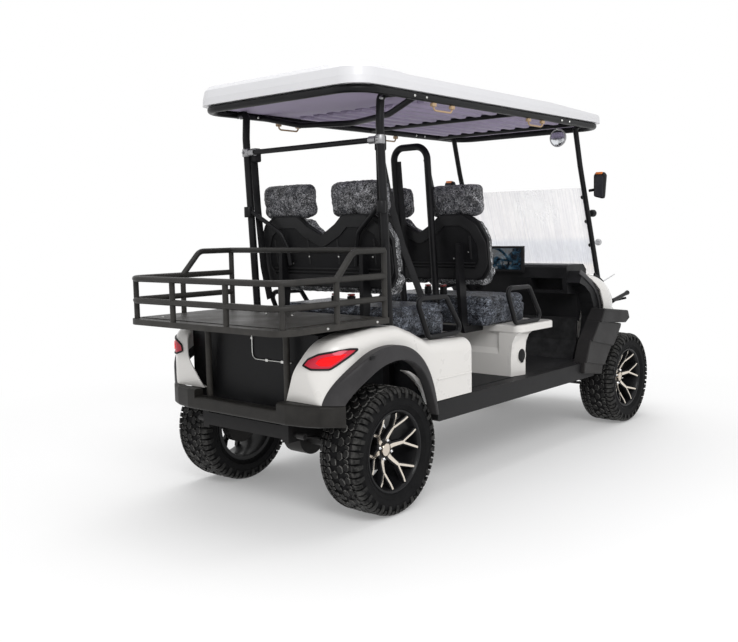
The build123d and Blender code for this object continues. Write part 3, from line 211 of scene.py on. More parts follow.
def block(bm, low, high, bevel=0.003, segments=2, material=0):
    """A box between two corners with rounded edges."""
    low, high = Vector(low), Vector(high)
    made = bmesh.ops.create_cube(bm, size=1)["verts"]
    for vert in made:
        vert.co = Vector((low[i] + (vert.co[i] + 0.5) * (high[i] - low[i]) for i in range(3)))
    edges = list({e for v in made for e in v.link_edges})
    for face in {f for v in made for f in v.link_faces}:
        face.material_index = material
    bevelled(bm, edges, bevel, segments)


def prism(bm, outline, low, high, axis, bevel=0.003, segments=2, material=0):
    """A plate with an outline in the two other axes, between low and high along the axis."""
    def place(a, b, c):
        return {"X": (c, a, b), "Y": (a, c, b), "Z": (a, b, c)}[axis]

    rings = [[bm.verts.new(place(a, b, level)) for a, b in outline] for level in (low, high)]
    faces = [bm.faces.new(rings[0]), bm.faces.new(list(reversed(rings[1])))]
    for k in range(len(outline)):
        beside = (k + 1) % len(outline)
        faces.append(bm.faces.new((rings[0][beside], rings[0][k], rings[1][k], rings[1][beside])))
    for face in faces:
        face.material_index = material
    bmesh.ops.recalc_face_normals(bm, faces=faces)
    bevelled(bm, list({edge for face in faces[:2] for edge in face.edges}), bevel, segments)


def rounded(outline, radius, steps=5):
    """An outline in two axes with its corners rounded."""
    path = bent_path([(a, b, 0) for a, b in outline], radius, closed=True, steps=steps)
    return [(p.x, p.y) for p in path]


def turned(bm, profile, centre=(0, 0, 0), axis="Y", sides=48, material=0, loop=False):
    """A turned form: (along, radius) points round an axis. A loop profile closes on itself."""
    centre = Vector(centre)
    rings = []
    for along, radius in profile:
        ring = []
        for k in range(sides):
            a = 2 * pi * k / sides
            u, v = radius * cos(a), radius * sin(a)
            offset = (along, u, v) if axis == "X" else (v, along, u)
            ring.append(bm.verts.new(centre + Vector(offset)))
        rings.append(ring)
    faces = skin_rings(bm, rings, material=material)
    if loop:
        faces += skin_rings(bm, [rings[0], rings[-1]], material=material)
    else:
        for ring in (rings[0], rings[-1]):
            faces.append(bm.faces.new(ring))
            faces[-1].material_index = material
    bmesh.ops.recalc_face_normals(bm, faces=faces)


def bright_bolt(bm, place, out, radius, proud):
    """A domed bolt head standing off a surface along out."""
    place, out = Vector(place), Vector(out).normalized()
    side = Z if abs(out.z) < 0.9 else X
    path = [place + out * stand for stand in (-0.002, proud * 0.35, proud * 0.8, proud)]
    sweep(bm, path, circle(radius, 12), up=side, scale=[1.25, 1.0, 0.85, 0.4])

# %% [markdown]
# ## Shared surface effects
# Paint, moulded plastic and steel share a few effects: a fine grain, slow mottling, and dust that
# settles low down. Each effect is a node group that is built once and placed with its own values.

# %% Node helpers
def fill_socket(tree, socket, value):
    """Links an output to a socket, or sets the socket's own value."""
    if isinstance(value, bpy.types.NodeSocket):
        tree.links.new(value, socket)
    else:
        socket.default_value = value


def add_node(tree, kind, inputs=None, **settings):
    """Adds a shader or geometry node, sets its properties and fills its inputs."""
    node = tree.nodes.new(kind)
    for key, value in settings.items():
        setattr(node, key, value)
    for key, value in (inputs or {}).items():
        fill_socket(tree, node.inputs[key], value)
    return node


def shader_group(name, inputs, outputs):
    """A new node group with (name, default) inputs and float outputs, and its two end nodes."""
    group = bpy.data.node_groups.new(name, "ShaderNodeTree")
    for label, default in inputs:
        kind = "NodeSocketVector" if isinstance(default, tuple) else "NodeSocketFloat"
        group.interface.new_socket(label, in_out="INPUT", socket_type=kind).default_value = default
    for label in outputs:
        group.interface.new_socket(label, in_out="OUTPUT", socket_type="NodeSocketFloat")
    return group, group.nodes.new("NodeGroupInput"), group.nodes.new("NodeGroupOutput")


def object_place(tree):
    return tree.nodes.new("ShaderNodeTexCoord").outputs["Object"]


def math_node(tree, operation, a, b=0.0, clamp=False):
    return add_node(tree, "ShaderNodeMath", {0: a, 1: b}, operation=operation, use_clamp=clamp).outputs[0]


def vector_node(tree, operation, a, b):
    return add_node(tree, "ShaderNodeVectorMath", {0: a, 1: b}, operation=operation).outputs[0]


def along_axis(tree, axis):
    """The shaded point's place along one axis of the cart."""
    return add_node(tree, "ShaderNodeSeparateXYZ", {0: object_place(tree)}).outputs[axis]


def ranged(tree, value, low, high, to_low=0.0, to_high=1.0, **settings):
    """Stretches a value from one range to another and holds it there."""
    inputs = {"Value": value, "From Min": low, "From Max": high, "To Min": to_low, "To Max": to_high}
    return add_node(tree, "ShaderNodeMapRange", inputs, **settings).outputs[0]


def noise_node(tree, vector, scale, detail=3.0, rough=0.5, distort=0.0, output="Fac"):
    inputs = {"Vector": vector, "Scale": scale, "Detail": detail, "Roughness": rough, "Distortion": distort}
    return add_node(tree, "ShaderNodeTexNoise", inputs).outputs[output]


def ramp_node(tree, factor, stops):
    """A colour ramp from a table of (place, colour)."""
    node = add_node(tree, "ShaderNodeValToRGB", {"Fac": factor})
    elements = node.color_ramp.elements
    while len(elements) < len(stops):
        elements.new(0.5)
    for element, (place, colour) in zip(elements, stops):
        element.position = place
        element.color = (*colour, 1)
    return node.outputs["Color"]


def mix_colour(tree, factor, a, b, blend="MIX"):
    node = add_node(tree, "ShaderNodeMix", {0: factor}, data_type="RGBA", blend_type=blend)
    for socket, value in ((node.inputs[6], a), (node.inputs[7], b)):
        fill_socket(tree, socket, (*value, 1) if isinstance(value, tuple) else value)
    return node.outputs[2]

# %% [markdown]
# ### Grain
# Textured plastic and powder coat are covered in tiny rounded bumps. Voronoi cells give the bumps,
# and a slower noise stops them from looking like a regular sheet.

# %% Grain group
def build_grain():
    group, ins, outs = shader_group("moulded grain", [("Scale", 900.0), ("Mottle Scale", 7.0)],
                                    ["Height", "Mottle"])
    place = object_place(group)
    cells = add_node(group, "ShaderNodeTexVoronoi", {"Vector": place, "Scale": ins.outputs["Scale"]},
                     feature="SMOOTH_F1")
    slow = noise_node(group, place, ins.outputs["Mottle Scale"], 4.0, 0.6)
    fine = noise_node(group, place, 260.0, 2.0)
    height = math_node(group, "MULTIPLY_ADD", cells.outputs["Distance"], 0.8)
    group.links.new(math_node(group, "MULTIPLY", fine, 0.4), height.node.inputs[2])
    group.links.new(height, outs.inputs["Height"])
    group.links.new(slow, outs.inputs["Mottle"])
    return group


GRAIN = build_grain()
print("effect:", GRAIN.name)

# %% [markdown]
# ### Dust
# Dust gathers near the ground and thins out upwards. The mask falls with height above the floor and
# is broken up by noise, so it never ends on a line.

# %% Dust group
def build_dust():
    group, ins, outs = shader_group("road dust", [("Top", 0.6), ("Scale", 14.0)], ["Mask"])
    share = math_node(group, "DIVIDE", along_axis(group, "Z"), ins.outputs["Top"])
    fall = math_node(group, "SUBTRACT", 1.0, share, clamp=True)
    patches = noise_node(group, object_place(group), ins.outputs["Scale"], 5.0, 0.65)
    group.links.new(math_node(group, "MULTIPLY", fall, patches, clamp=True), outs.inputs["Mask"])
    return group


DUST = build_dust()
print("effect:", DUST.name)

# %% [markdown]
# ### Cling film
# The seats are still wrapped in the clear film that they were shipped in. Crumpled film throws white
# glints from many small facets, and here they are painted highlights: a hard step in a distorted noise
# gives the specks, and a narrow band of a second noise gives the fainter lit creases between them.

# %% Film group
def build_film():
    inputs = [("Scale", 26.0), ("Glint", 0.5), ("Stretch", (1.0, 1.0, 1.0))]
    group, ins, outs = shader_group("crumpled film", inputs, ["Glints", "Height"])
    place, scale = object_place(group), ins.outputs["Scale"]
    stretched = vector_node(group, "MULTIPLY", place, ins.outputs["Stretch"])
    warp = noise_node(group, stretched, 13.0, 4.0, 0.65, output="Color")
    centred = vector_node(group, "SUBTRACT", warp, (0.5, 0.5, 0.5))
    push = add_node(group, "ShaderNodeVectorMath", {0: centred, "Scale": 0.22}, operation="SCALE").outputs[0]
    moved = vector_node(group, "ADD", stretched, push)
    specks = noise_node(group, moved, math_node(group, "MULTIPLY", scale, 2.2), 2.0, 0.6, 1.1)
    ridges = noise_node(group, moved, scale, 6.0, 0.68, 1.2)
    fold = math_node(group, "ABSOLUTE", math_node(group, "SUBTRACT", ridges, 0.5))
    crease = math_node(group, "SUBTRACT", 1.0, math_node(group, "MULTIPLY", fold, 24.0), clamp=True)
    faint = math_node(group, "MULTIPLY", crease, 0.4)
    # The specks and the creases are painted highlights.
    lit = math_node(group, "MAXIMUM", ranged(group, specks, 0.55, 0.575), faint)
    shown = ranged(group, noise_node(group, place, 16.0, 3.0, 0.6), 0.36, 0.6, 0.3, 1.0)
    bright = math_node(group, "MULTIPLY", lit, shown)
    glints = math_node(group, "MULTIPLY", bright, ins.outputs["Glint"], clamp=True)
    low, high = math_node(group, "MULTIPLY", specks, 0.4), math_node(group, "MULTIPLY", ridges, 0.9)
    group.links.new(glints, outs.inputs["Glints"])
    group.links.new(math_node(group, "ADD", low, high), outs.inputs["Height"])
    return group


FILM = build_film()
print("effect:", FILM.name)

# %% [markdown]
# ## Finishes
# Each finish starts from the same Principled shader. The helper sets the plain values on the
# shader's own sockets and leaves colour, roughness and bump free for the effects.

# %% Material helper
def finish(name, colour, rough, metal=0.0, coat=0.0, **extra):
    """A material with its shader's plain values set. Returns the material, its tree and the shader."""
    material = bpy.data.materials.new(name)
    material.use_nodes = True
    tree = material.node_tree
    shader = tree.nodes["Principled BSDF"]
    plain = {"base_color": (*colour, 1), "roughness": rough, "metallic": metal, "coat_weight": coat}
    for key, value in (plain | extra).items():
        shader.inputs[key.replace("_", " ").title().replace("Ior", "IOR")].default_value = value
    material.diffuse_color = (*colour, 1)
    return material, tree, shader


def surface(tree, shader, base, height, strength, distance=0.001):
    """Links a colour and a bump to the shader."""
    tree.links.new(base, shader.inputs["Base Color"])
    bump = add_node(tree, "ShaderNodeBump", {"Height": height, "Strength": strength, "Distance": distance})
    tree.links.new(bump.outputs[0], shader.inputs["Normal"])


def place_group(tree, group, **values):
    return add_node(tree, "ShaderNodeGroup", values, node_tree=group)


def times(colour, factor):
    return tuple(c * factor for c in colour)

# %% [markdown]
# ### Grained materials
# Moulded plastic, powder coat and bare steel differ in colour, gloss and the size of the grain. One
# function builds them all from the grain and dust effects. The front argument darkens what lies ahead
# of the cart's middle and thins its dust there: painted shade, for the front arch flares face away
# from the light and look blacker than the rear ones.

# %% Grained finishes
DUST_COLOUR = (0.32, 0.29, 0.25)
DARK = 0.06                  # plastics below this get a weaker shine


def grained(name, colour, rough, grain_scale, bump, vary, metal=0.0, dust=0.0, dust_top=0.6, coat=0.0,
            front=1.0):
    shine = {"specular_ior_level": 0.16} if max(colour) < DARK and not metal else {}
    material, tree, shader = finish(name, colour, rough, metal, coat, **shine)
    grain = place_group(tree, GRAIN, Scale=grain_scale)
    mottle = grain.outputs["Mottle"]
    lighter = tuple(min(c * (1 + vary) + 0.004, 1) for c in colour)
    base = ramp_node(tree, mottle, [(0.3, times(colour, 1 - vary)), (0.7, lighter)])
    # Ahead of the middle the colour is darkened and the dust thinned: painted shade on parts that face away
    # from the light.
    if front < 1:
        ahead = math_node(tree, "GREATER_THAN", along_axis(tree, "X"), 0.0)
        base = mix_colour(tree, ahead, base, times(colour, front))
        dust *= front
    if dust:
        mask = place_group(tree, DUST, Top=dust_top).outputs["Mask"]
        base = mix_colour(tree, math_node(tree, "MULTIPLY", mask, dust), base, DUST_COLOUR)
    spread = ranged(tree, mottle, 0.3, 0.7, max(rough - 0.08, 0.03), min(rough + 0.1, 1))
    tree.links.new(spread, shader.inputs["Roughness"])
    surface(tree, shader, base, grain.outputs["Height"], bump)
    return material

# Each line: name, colour, roughness, grain scale, bump and variation.
body_paint = grained("body_paint", (0.73, 0.712, 0.685), 0.32, 900.0, 0.02, 0.01,
                     coat=0.5, dust=0.05, dust_top=0.75)
canopy_paint = grained("canopy_paint", (0.70, 0.70, 0.72), 0.4, 420.0, 0.05, 0.01, coat=0.2)
canopy_lining = grained("canopy_lining", (0.345, 0.295, 0.42), 0.62, 300.0, 0.15, 0.08)
# A paler grey for the dash's outer edge: a painted highlight.
painted_highlight_grey = grained("painted_highlight_grey", (0.055, 0.054, 0.056), 0.4, 700.0, 0.25, 0.12)
pale_plastic = grained("pale_plastic", (0.46, 0.46, 0.47), 0.35, 500.0, 0.15, 0.12)
black_plastic = grained("black_plastic", (0.009, 0.009, 0.010), 0.5, 700.0, 0.3, 0.3, dust=0.03, dust_top=0.9)
bumper_plastic = grained("bumper_plastic", (0.0125, 0.0118, 0.0112), 0.45, 800.0, 0.3, 0.15,
                         dust=0.10, dust_top=0.9)
shell_band = grained("shell_band", (0.017, 0.017, 0.018), 0.42, 760.0, 0.25, 0.12)
# front=0.42 paints shade on the front flares, which face away from the light.
flare_plastic = grained("flare_plastic", (0.032, 0.031, 0.033), 0.46, 800.0, 0.3, 0.15,
                        dust=0.25, dust_top=0.9, front=0.42)
dash_plastic = grained("dash_plastic", (0.009, 0.009, 0.010), 0.42, 900.0, 0.35, 0.2)
shell_plastic = grained("shell_plastic", (0.007, 0.007, 0.008), 0.5, 760.0, 0.35, 0.25)
basket_coat = grained("basket_coat", (0.019, 0.0187, 0.0182), 0.42, 1300.0, 0.22, 0.18,
                      dust=0.3, dust_top=1.4)
tube_coat = grained("tube_coat", (0.007, 0.007, 0.008), 0.36, 1200.0, 0.12, 0.25)
chassis_coat = grained("chassis_coat", (0.008, 0.008, 0.009), 0.55, 900.0, 0.2, 0.35, dust=0.15, dust_top=0.5)
well_plastic = grained("well_plastic", (0.006, 0.006, 0.007), 0.45, 500.0, 0.25, 0.3)
spring_steel = grained("spring_steel", (0.02, 0.02, 0.021), 0.45, 600.0, 0.2, 0.3, dust=0.2, dust_top=0.5)
cast_iron = grained("cast_iron", (0.014, 0.014, 0.015), 0.6, 350.0, 0.5, 0.35, dust=0.15, dust_top=0.5)
cast_alloy = grained("cast_alloy", (0.34, 0.34, 0.35), 0.42, 500.0, 0.35, 0.15, metal=0.9)
zinc = grained("zinc", (0.62, 0.62, 0.60), 0.28, 800.0, 0.1, 0.12, metal=1.0)
chrome = grained("chrome", (0.78, 0.78, 0.79), 0.12, 400.0, 0.02, 0.03, metal=1.0)
webbing_black = grained("webbing_black", (0.013, 0.013, 0.014), 0.75, 1500.0, 0.6, 0.35)
handle_tan = grained("handle_tan", (0.42, 0.29, 0.17), 0.5, 600.0, 0.2, 0.1)
buckle_red = grained("buckle_red", (0.45, 0.03, 0.025), 0.35, 600.0, 0.15, 0.1)
repeater_amber = grained("repeater_amber", (0.75, 0.2, 0.03), 0.2, 300.0, 0.05, 0.08, coat=0.5)
rim_black = grained("rim_black", (0.006, 0.006, 0.007), 0.38, 500.0, 0.03, 0.2, coat=0.08)
battery_case = grained("battery_case", (0.03, 0.032, 0.036), 0.5, 500.0, 0.3, 0.2)
mirror_glass = grained("mirror_glass", (0.75, 0.77, 0.8), 0.08, 300.0, 0.005, 0.03, metal=1.0)
# Dark grey, not metal, in place of a mirror's reflection: a painted reflection.
painted_reflection_glass = grained("painted_reflection_glass", (0.03, 0.03, 0.035), 0.3, 300.0, 0.05, 0.15)
print("grained finishes:", len(bpy.data.materials))

# %% [markdown]
# ### Machined alloy
# The spoke faces are turned on a lathe after painting, which leaves fine rings round the wheel's
# axis and a warm, pale shine. The rings are a wave of the distance from the axle line.

# %% Machined finish
def build_machined():
    material, tree, shader = finish("machined_alloy", (0.78, 0.71, 0.62), 0.24, 1.0)
    place = tree.nodes.new("ShaderNodeTexCoord").outputs["UV"]
    settings = {"Vector": place, "Scale": 320.0, "Distortion": 1.5, "Detail": 2.0, "Detail Scale": 3.0}
    rings = add_node(tree, "ShaderNodeTexWave", settings, bands_direction="X").outputs["Fac"]
    base = ramp_node(tree, rings, [(0.0, (0.66, 0.59, 0.51)), (1.0, (0.84, 0.78, 0.69))])
    surface(tree, shader, base, rings, 0.12, 0.0004)
    return material


machined_alloy = build_machined()
print("finish:", machined_alloy.name)

# %% [markdown]
# ### Tyre rubber
# New rubber is nearly black with a dull sheen. The edges of the tread blocks are painted a light grey,
# a painted highlight where light catches them, broken up by noise, and a faint mottling breaks up the
# sidewall.

# %% Rubber
def build_rubber(name, colour, rough, lift, painted_edge_highlight=None):
    material, tree, shader = finish(name, colour, rough, specular_ior_level=0.12)
    place = object_place(tree)
    slow = noise_node(tree, place, 18.0, 5.0, 0.6)
    fine = noise_node(tree, place, 420.0, 3.0)
    base = ramp_node(tree, slow, [(0.35, colour), (0.75, tuple(c + lift for c in colour))])
    # Marked edges are mixed towards light grey: a painted highlight, broken up by noise.
    if painted_edge_highlight:
        mark = add_node(tree, "ShaderNodeAttribute", attribute_name="painted_edge_highlight").outputs["Fac"]
        patchy = ranged(tree, noise_node(tree, place, 55.0, 4.0, 0.6), 0.38, 0.6)
        edge = math_node(tree, "MULTIPLY", math_node(tree, "POWER", mark, 1.6), patchy, clamp=True)
        base = mix_colour(tree, edge, base, painted_edge_highlight)
    tree.links.new(ranged(tree, slow, 0.0, 1.0, rough - 0.1, rough + 0.1), shader.inputs["Roughness"])
    surface(tree, shader, base, fine, 0.35, 0.0008)
    return material


tyre_rubber = build_rubber("tyre_rubber", (0.0045, 0.0045, 0.005), 0.75, 0.006)
# The light grey is the colour of the painted highlight on the lug edges.
lug_rubber = build_rubber("lug_rubber", (0.006, 0.006, 0.006), 0.6, 0.010, painted_edge_highlight=(0.24, 0.235, 0.225))
mat_rubber = build_rubber("mat_rubber", (0.014, 0.014, 0.015), 0.6, 0.02)
print("rubbers: tyre, lugs and mat")

# %% [markdown]
# ### Vinyl under film
# Black vinyl shows between the glints of the film. The glints are paint on the base colour, so the
# exported model keeps them, and the film's own height gives the light something to catch.

# %% Wrapped vinyl
def build_wrapped(name, scale, glint, stretch, glint_colour):
    material, tree, shader = finish(name, (0.014, 0.014, 0.016), 0.4, coat=0.08, coat_roughness=0.15,
                                    specular_ior_level=0.12)
    film = place_group(tree, FILM, Scale=scale, Glint=glint, Stretch=stretch)
    cloudy = noise_node(tree, object_place(tree), 11.0, 3.0)
    vinyl = ramp_node(tree, cloudy, [(0.4, (0.004, 0.004, 0.005)), (0.72, (0.018, 0.020, 0.026))])
    # The film's glints are painted highlights, mixed over the vinyl in the glint colour.
    base = mix_colour(tree, film.outputs["Glints"], vinyl, glint_colour)
    surface(tree, shader, base, film.outputs["Height"], 0.75, 0.006)
    return material


# The last value of each line is the colour of the painted glints.
wrapped_rest = build_wrapped("wrapped_headrest", 36.0, 0.78, (1.0, 1.0, 1.0), (0.62, 0.62, 0.65))
wrapped_back = build_wrapped("wrapped_back", 34.0, 1.0, (1.0, 1.0, 0.6), (0.78, 0.79, 0.81))
wrapped_cushion = build_wrapped("wrapped_cushion", 28.0, 0.75, (1.0, 0.8, 1.3), (0.40, 0.44, 0.52))
print("wrapped vinyls: headrest, back and cushion")

# %% [markdown]
# ### Lenses
# Lamp lenses are clear plastic with fine flutes moulded across them. The tail lamp's red is given a
# little emission, painted light that stands in for light bouncing about inside the unlit lens.

# %% Lens finishes
PAINTED_GLOW = 0.4


def build_lens(name, colour, rough, transmission=0.0, painted_glow=None):
    material, tree, shader = finish(name, colour, rough, coat=0.12, coat_roughness=0.06,
                                    transmission_weight=transmission, ior=1.49, specular_ior_level=0.2)
    settings = {"Vector": object_place(tree), "Scale": 90.0, "Distortion": 0.6}
    flutes = add_node(tree, "ShaderNodeTexWave", settings, bands_direction="Z").outputs["Fac"]
    base = ramp_node(tree, flutes, [(0.1, times(colour, 0.72)), (0.9, colour)])
    surface(tree, shader, base, flutes, 0.15, 0.0008)
    # The emission is painted light: the lamp is not lit.
    if painted_glow:
        shader.inputs["Emission Color"].default_value = (*painted_glow, 1)
        shader.inputs["Emission Strength"].default_value = PAINTED_GLOW
    return material


lens_red = build_lens("lens_red", (0.90, 0.002, 0.004), 0.25, painted_glow=(0.9, 0.0, 0.005))
lens_deep = build_lens("lens_deep", (0.66, 0.03, 0.06), 0.22)
lens_smoke = build_lens("lens_smoke", (0.035, 0.03, 0.032), 0.08)
lens_clear = build_lens("lens_clear", (0.62, 0.64, 0.66), 0.08, 0.4)
# Pink: a painted highlight on the tail lamps' facets.
lens_pink = build_lens("lens_pink", (0.86, 0.16, 0.22), 0.2)
print("lenses: red, deep red, smoke, clear and pink")

# %% [markdown]
# ### Windshield and screen
# The windshield still wears its milky film, so it is a streaked, half-clear sheet and not clean
# glass. It is given a faint white glow, painted light that keeps it bright, and its tone is painted
# in bands by height, with painted shade where the folded pane and the frame lie behind it. The screen
# shows dim blue clouds under a clear coat.

# %% Pane and screen
# Painted tone bands by height: painted shade where the folded pane and the frame lie behind.
PANE_ZONES = [
    # share of the pane's height, tint
    (0.10, (0.97, 0.94, 0.90)), (0.16, (0.84, 0.86, 0.89)), (0.38, (0.86, 0.88, 0.91)),
    (0.44, (1.0, 0.99, 0.98)), (0.95, (0.95, 0.94, 0.93)),
]
STREAK_TONES = [(0.34, (0.76, 0.76, 0.79)), (0.52, (0.91, 0.91, 0.91)), (0.7, (0.98, 0.97, 0.95))]
SCREEN_BLUES = [(0.42, (0.006, 0.010, 0.016)), (0.56, (0.02, 0.06, 0.10)), (0.72, (0.12, 0.20, 0.26))]


def build_pane_finish():
    # The faint white emission is painted light that keeps the pane bright.
    material, tree, shader = finish("filmed_pane", (0.83, 0.83, 0.84), 0.35, specular_ior_level=0.5,
                                    emission_color=(0.97, 0.97, 1.0, 1), emission_strength=0.3)
    place = object_place(tree)
    streaks = noise_node(tree, vector_node(tree, "MULTIPLY", place, (3.0, 60.0, 1.2)), 1.6, 5.0, 0.65, 0.4)
    low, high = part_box("windshield")
    rise = ranged(tree, along_axis(tree, "Z"), low[2], high[2])
    streaked, zones = ramp_node(tree, streaks, STREAK_TONES), ramp_node(tree, rise, PANE_ZONES)
    base = mix_colour(tree, 1.0, streaked, zones, "MULTIPLY")
    wide = math_node(tree, "MULTIPLY", noise_node(tree, place, 3.2, 3.0), 0.7)
    narrow = math_node(tree, "MULTIPLY", streaks, 0.3)
    cover = math_node(tree, "ADD", wide, narrow, clamp=True)
    tree.links.new(ranged(tree, cover, 0.3, 0.68, 0.16, 0.62), shader.inputs["Alpha"])
    surface(tree, shader, base, streaks, 0.15, 0.002)
    return material


def build_screen_finish():
    material, tree, shader = finish("screen_glass", (0.01, 0.014, 0.02), 0.08, coat=1.0)
    clouds = noise_node(tree, object_place(tree), 26.0, 4.0, 0.6, 0.5)
    tree.links.new(ramp_node(tree, clouds, SCREEN_BLUES), shader.inputs["Base Color"])
    return material


filmed_pane, screen_glass = build_pane_finish(), build_screen_finish()
print("finishes in all:", len(bpy.data.materials))

# %% [markdown]
# ## Wheels
# Each wheel has an all-terrain tyre, a black alloy rim with machined spoke faces, and a hub. All four
# are alike, so a wheel is drawn once round its own axle line and placed four times.

# %% Ring of copies
def build_ring_tree():
    """Geometry nodes: copies of the piece's own mesh round the Y axis."""
    tree = bpy.data.node_groups.new("ring of copies", "GeometryNodeTree")
    tree.is_modifier = True
    for label, kind in (("Geometry", "Geometry"), ("Count", "Int"), ("Start Angle", "Float"),
                        ("Material", "Material")):
        tree.interface.new_socket(label, in_out="INPUT", socket_type="NodeSocket" + kind)
    tree.interface.new_socket("Geometry", in_out="OUTPUT", socket_type="NodeSocketGeometry")
    ins, outs = tree.nodes.new("NodeGroupInput").outputs, tree.nodes.new("NodeGroupOutput").inputs
    points = add_node(tree, "GeometryNodeMeshLine", {"Count": ins["Count"], "Offset": (0.0, 0.0, 0.0)})
    index = tree.nodes.new("GeometryNodeInputIndex").outputs[0]
    step = math_node(tree, "DIVIDE", 2 * pi, ins["Count"])
    angle = math_node(tree, "ADD", math_node(tree, "MULTIPLY", index, step), ins["Start Angle"])
    turn = add_node(tree, "ShaderNodeCombineXYZ", {"Y": angle}).outputs[0]
    placed = {"Points": points.outputs[0], "Instance": ins["Geometry"], "Rotation": turn}
    copies = add_node(tree, "GeometryNodeInstanceOnPoints", placed).outputs[0]
    plain = add_node(tree, "GeometryNodeRealizeInstances", {"Geometry": copies}).outputs[0]
    painted = {"Geometry": plain, "Material": ins["Material"]}
    tree.links.new(add_node(tree, "GeometryNodeSetMaterial", painted).outputs[0], outs[0])
    return tree


RING = build_ring_tree()


def ring_mesh(name, bm, count, material, start=0.0):
    """The mesh of one segment repeated round the Y axis by the ring tree."""
    maker = linked(name, mesh_from(name, bm))
    modifier = maker.modifiers.new("ring", "NODES")
    modifier.node_group = RING
    values = {"Count": count, "Start Angle": start, "Material": material}
    for item in RING.interface.items_tree:
        if item.in_out == "INPUT" and item.name in values:
            modifier[item.identifier] = values[item.name]
    settled(maker)
    result = maker.data
    bpy.data.objects.remove(maker)
    print(name, "x", count, "->", len(result.polygons), "faces")
    return result

# %% [markdown]
# ### Tread
# The tread has two zigzag centre rows, two rows beside them and long and short shoulder lugs that run
# down the sidewall. One pitch of it is drawn flat, as outlines across the tyre and along its
# circumference, wrapped on to the tyre's profile, and repeated by the ring tree.

# %% Tread blocks
TREAD_PITCHES = 30
PITCH = 2 * pi * TYRE_R / TREAD_PITCHES
LUG_DEPTH = 0.010
CROWN_DROP, CROWN_HALF_W = 0.0075, 0.095
TREAD_BLOCKS = [
    # depth, then the outline as (distance from the tyre's middle, share of a pitch)
    (LUG_DEPTH, [(0.003, -0.30), (0.020, -0.38), (0.034, -0.20), (0.031, 0.12), (0.016, 0.28),
                 (0.004, 0.12)]),
    (LUG_DEPTH, [(0.038, -0.02), (0.054, -0.16), (0.066, 0.02), (0.064, 0.36), (0.050, 0.46), (0.040, 0.28)]),
    (0.008, [(0.040, 0.58), (0.052, 0.54), (0.062, 0.44), (0.066, 0.62), (0.058, 0.76), (0.044, 0.78)]),
    (0.009, [(0.070, 0.0), (0.082, -0.02), (0.0835, 0.36), (0.071, 0.34)]),
    (0.008, [(0.070, 0.50), (0.082, 0.54), (0.0835, 0.86), (0.071, 0.84)]),
]
# The last value of each level is its share of the painted highlight on the block's edges.
BLOCK_LEVELS = [(0.0016, 0.95, 1.0), (0.0, 0.85, 0.10)]      # below the crown, size, worn
SHOULDER = [(0.084, 0.2905), (0.098, 0.2875), (0.1085, 0.279), (0.1135, 0.266), (0.1145, 0.254),
            (0.1125, 0.243)]
SHOULDER_LUGS = [(-0.02, 0.40, 6), (0.52, 0.88, 4)]          # start and end in pitches, points down
LUG_TAPER, LUG_LEAN = 0.12, 0.002


def crown(y):
    """The tread's radius at a distance y from the tyre's middle."""
    return TYRE_R - CROWN_DROP * (abs(y) / CROWN_HALF_W) ** 2.4


def round_tyre(y, radius, s):
    """A point at a distance s round the tyre."""
    return (radius * sin(s / TYRE_R), y, radius * cos(s / TYRE_R))


def tread_block(bm, outline, depth):
    """A raised block: its outline is (y, distance round the tyre). Its top edge carries a painted highlight.
    """
    painted_edge_highlight = bm.verts.layers.float["painted_edge_highlight"]
    middle_y, middle_s = (sum(values) / len(outline) for values in zip(*outline))
    rings = []
    for drop, size, highlight in [(depth, 1.0, 0.0), *BLOCK_LEVELS]:
        ring = []
        for y, s in outline:
            y, s = middle_y + (y - middle_y) * size, middle_s + (s - middle_s) * size
            ring.append(bm.verts.new(round_tyre(y, crown(y) - drop, s)))
            ring[-1][painted_edge_highlight] = highlight
        rings.append(ring)
    reverse_if_inward(bm, [bm.faces.new(rings[-1])] + skin_rings(bm, rings))


def shoulder_lug(bm, side, start, end, reach):
    """A lug that runs down the sidewall over the first 'reach' points of the shoulder."""
    painted_edge_highlight = bm.verts.layers.float["painted_edge_highlight"]
    outer, inner = [], []
    for number, (y, radius) in enumerate(SHOULDER[:reach]):
        ease = number / (reach - 1)
        inset, lean = (end - start) * LUG_TAPER * ease, LUG_LEAN * ease
        ends = (start + inset + lean, end - inset + lean)
        drop = LUG_DEPTH * (1 - 0.35 * ease) if number < reach - 1 else LUG_DEPTH * 0.5
        tilt = ease * 1.35
        for store, lift in ((outer, 0.0), (inner, drop)):
            down, across = radius - cos(tilt) * lift, side * (y - sin(tilt) * lift)
            pair = [bm.verts.new(round_tyre(across, down, s)) for s in ends]
            for vert in pair:
                # The lug's outer face gets a painted highlight that fades down the sidewall.
                vert[painted_edge_highlight] = 0.0 if lift else 0.40 * (1 - 0.5 * ease)
            store.append(pair)
    faces = []
    for k in range(reach - 1):
        faces.append(bm.faces.new((outer[k][0], outer[k][1], outer[k + 1][1], outer[k + 1][0])))
        for j in (0, 1):
            faces.append(bm.faces.new((outer[k][j], outer[k + 1][j], inner[k + 1][j], inner[k][j])))
    for k in (0, -1):
        faces.append(bm.faces.new((outer[k][0], inner[k][0], inner[k][1], outer[k][1])))
    reverse_if_inward(bm, faces)


def tread_segment():
    bm = bmesh.new()
    bm.verts.layers.float.new("painted_edge_highlight")
    for side in SIDES:
        shift = 0 if side > 0 else PITCH / 2
        for depth, outline in TREAD_BLOCKS:
            tread_block(bm, [(side * y, share * PITCH + shift) for y, share in outline], depth)
        for start, end, reach in SHOULDER_LUGS:
            shoulder_lug(bm, side, start * PITCH + shift, end * PITCH + shift, reach)
    return bm


lug_mesh = ring_mesh("tread", tread_segment(), TREAD_PITCHES, lug_rubber)

# %% [markdown]
# ### Carcass
# Under the lugs the tyre is a turned form: bead, bulging sidewall with raised rings, shoulder and
# tread base. The rings are drawn in the profile itself, so the light runs round them.

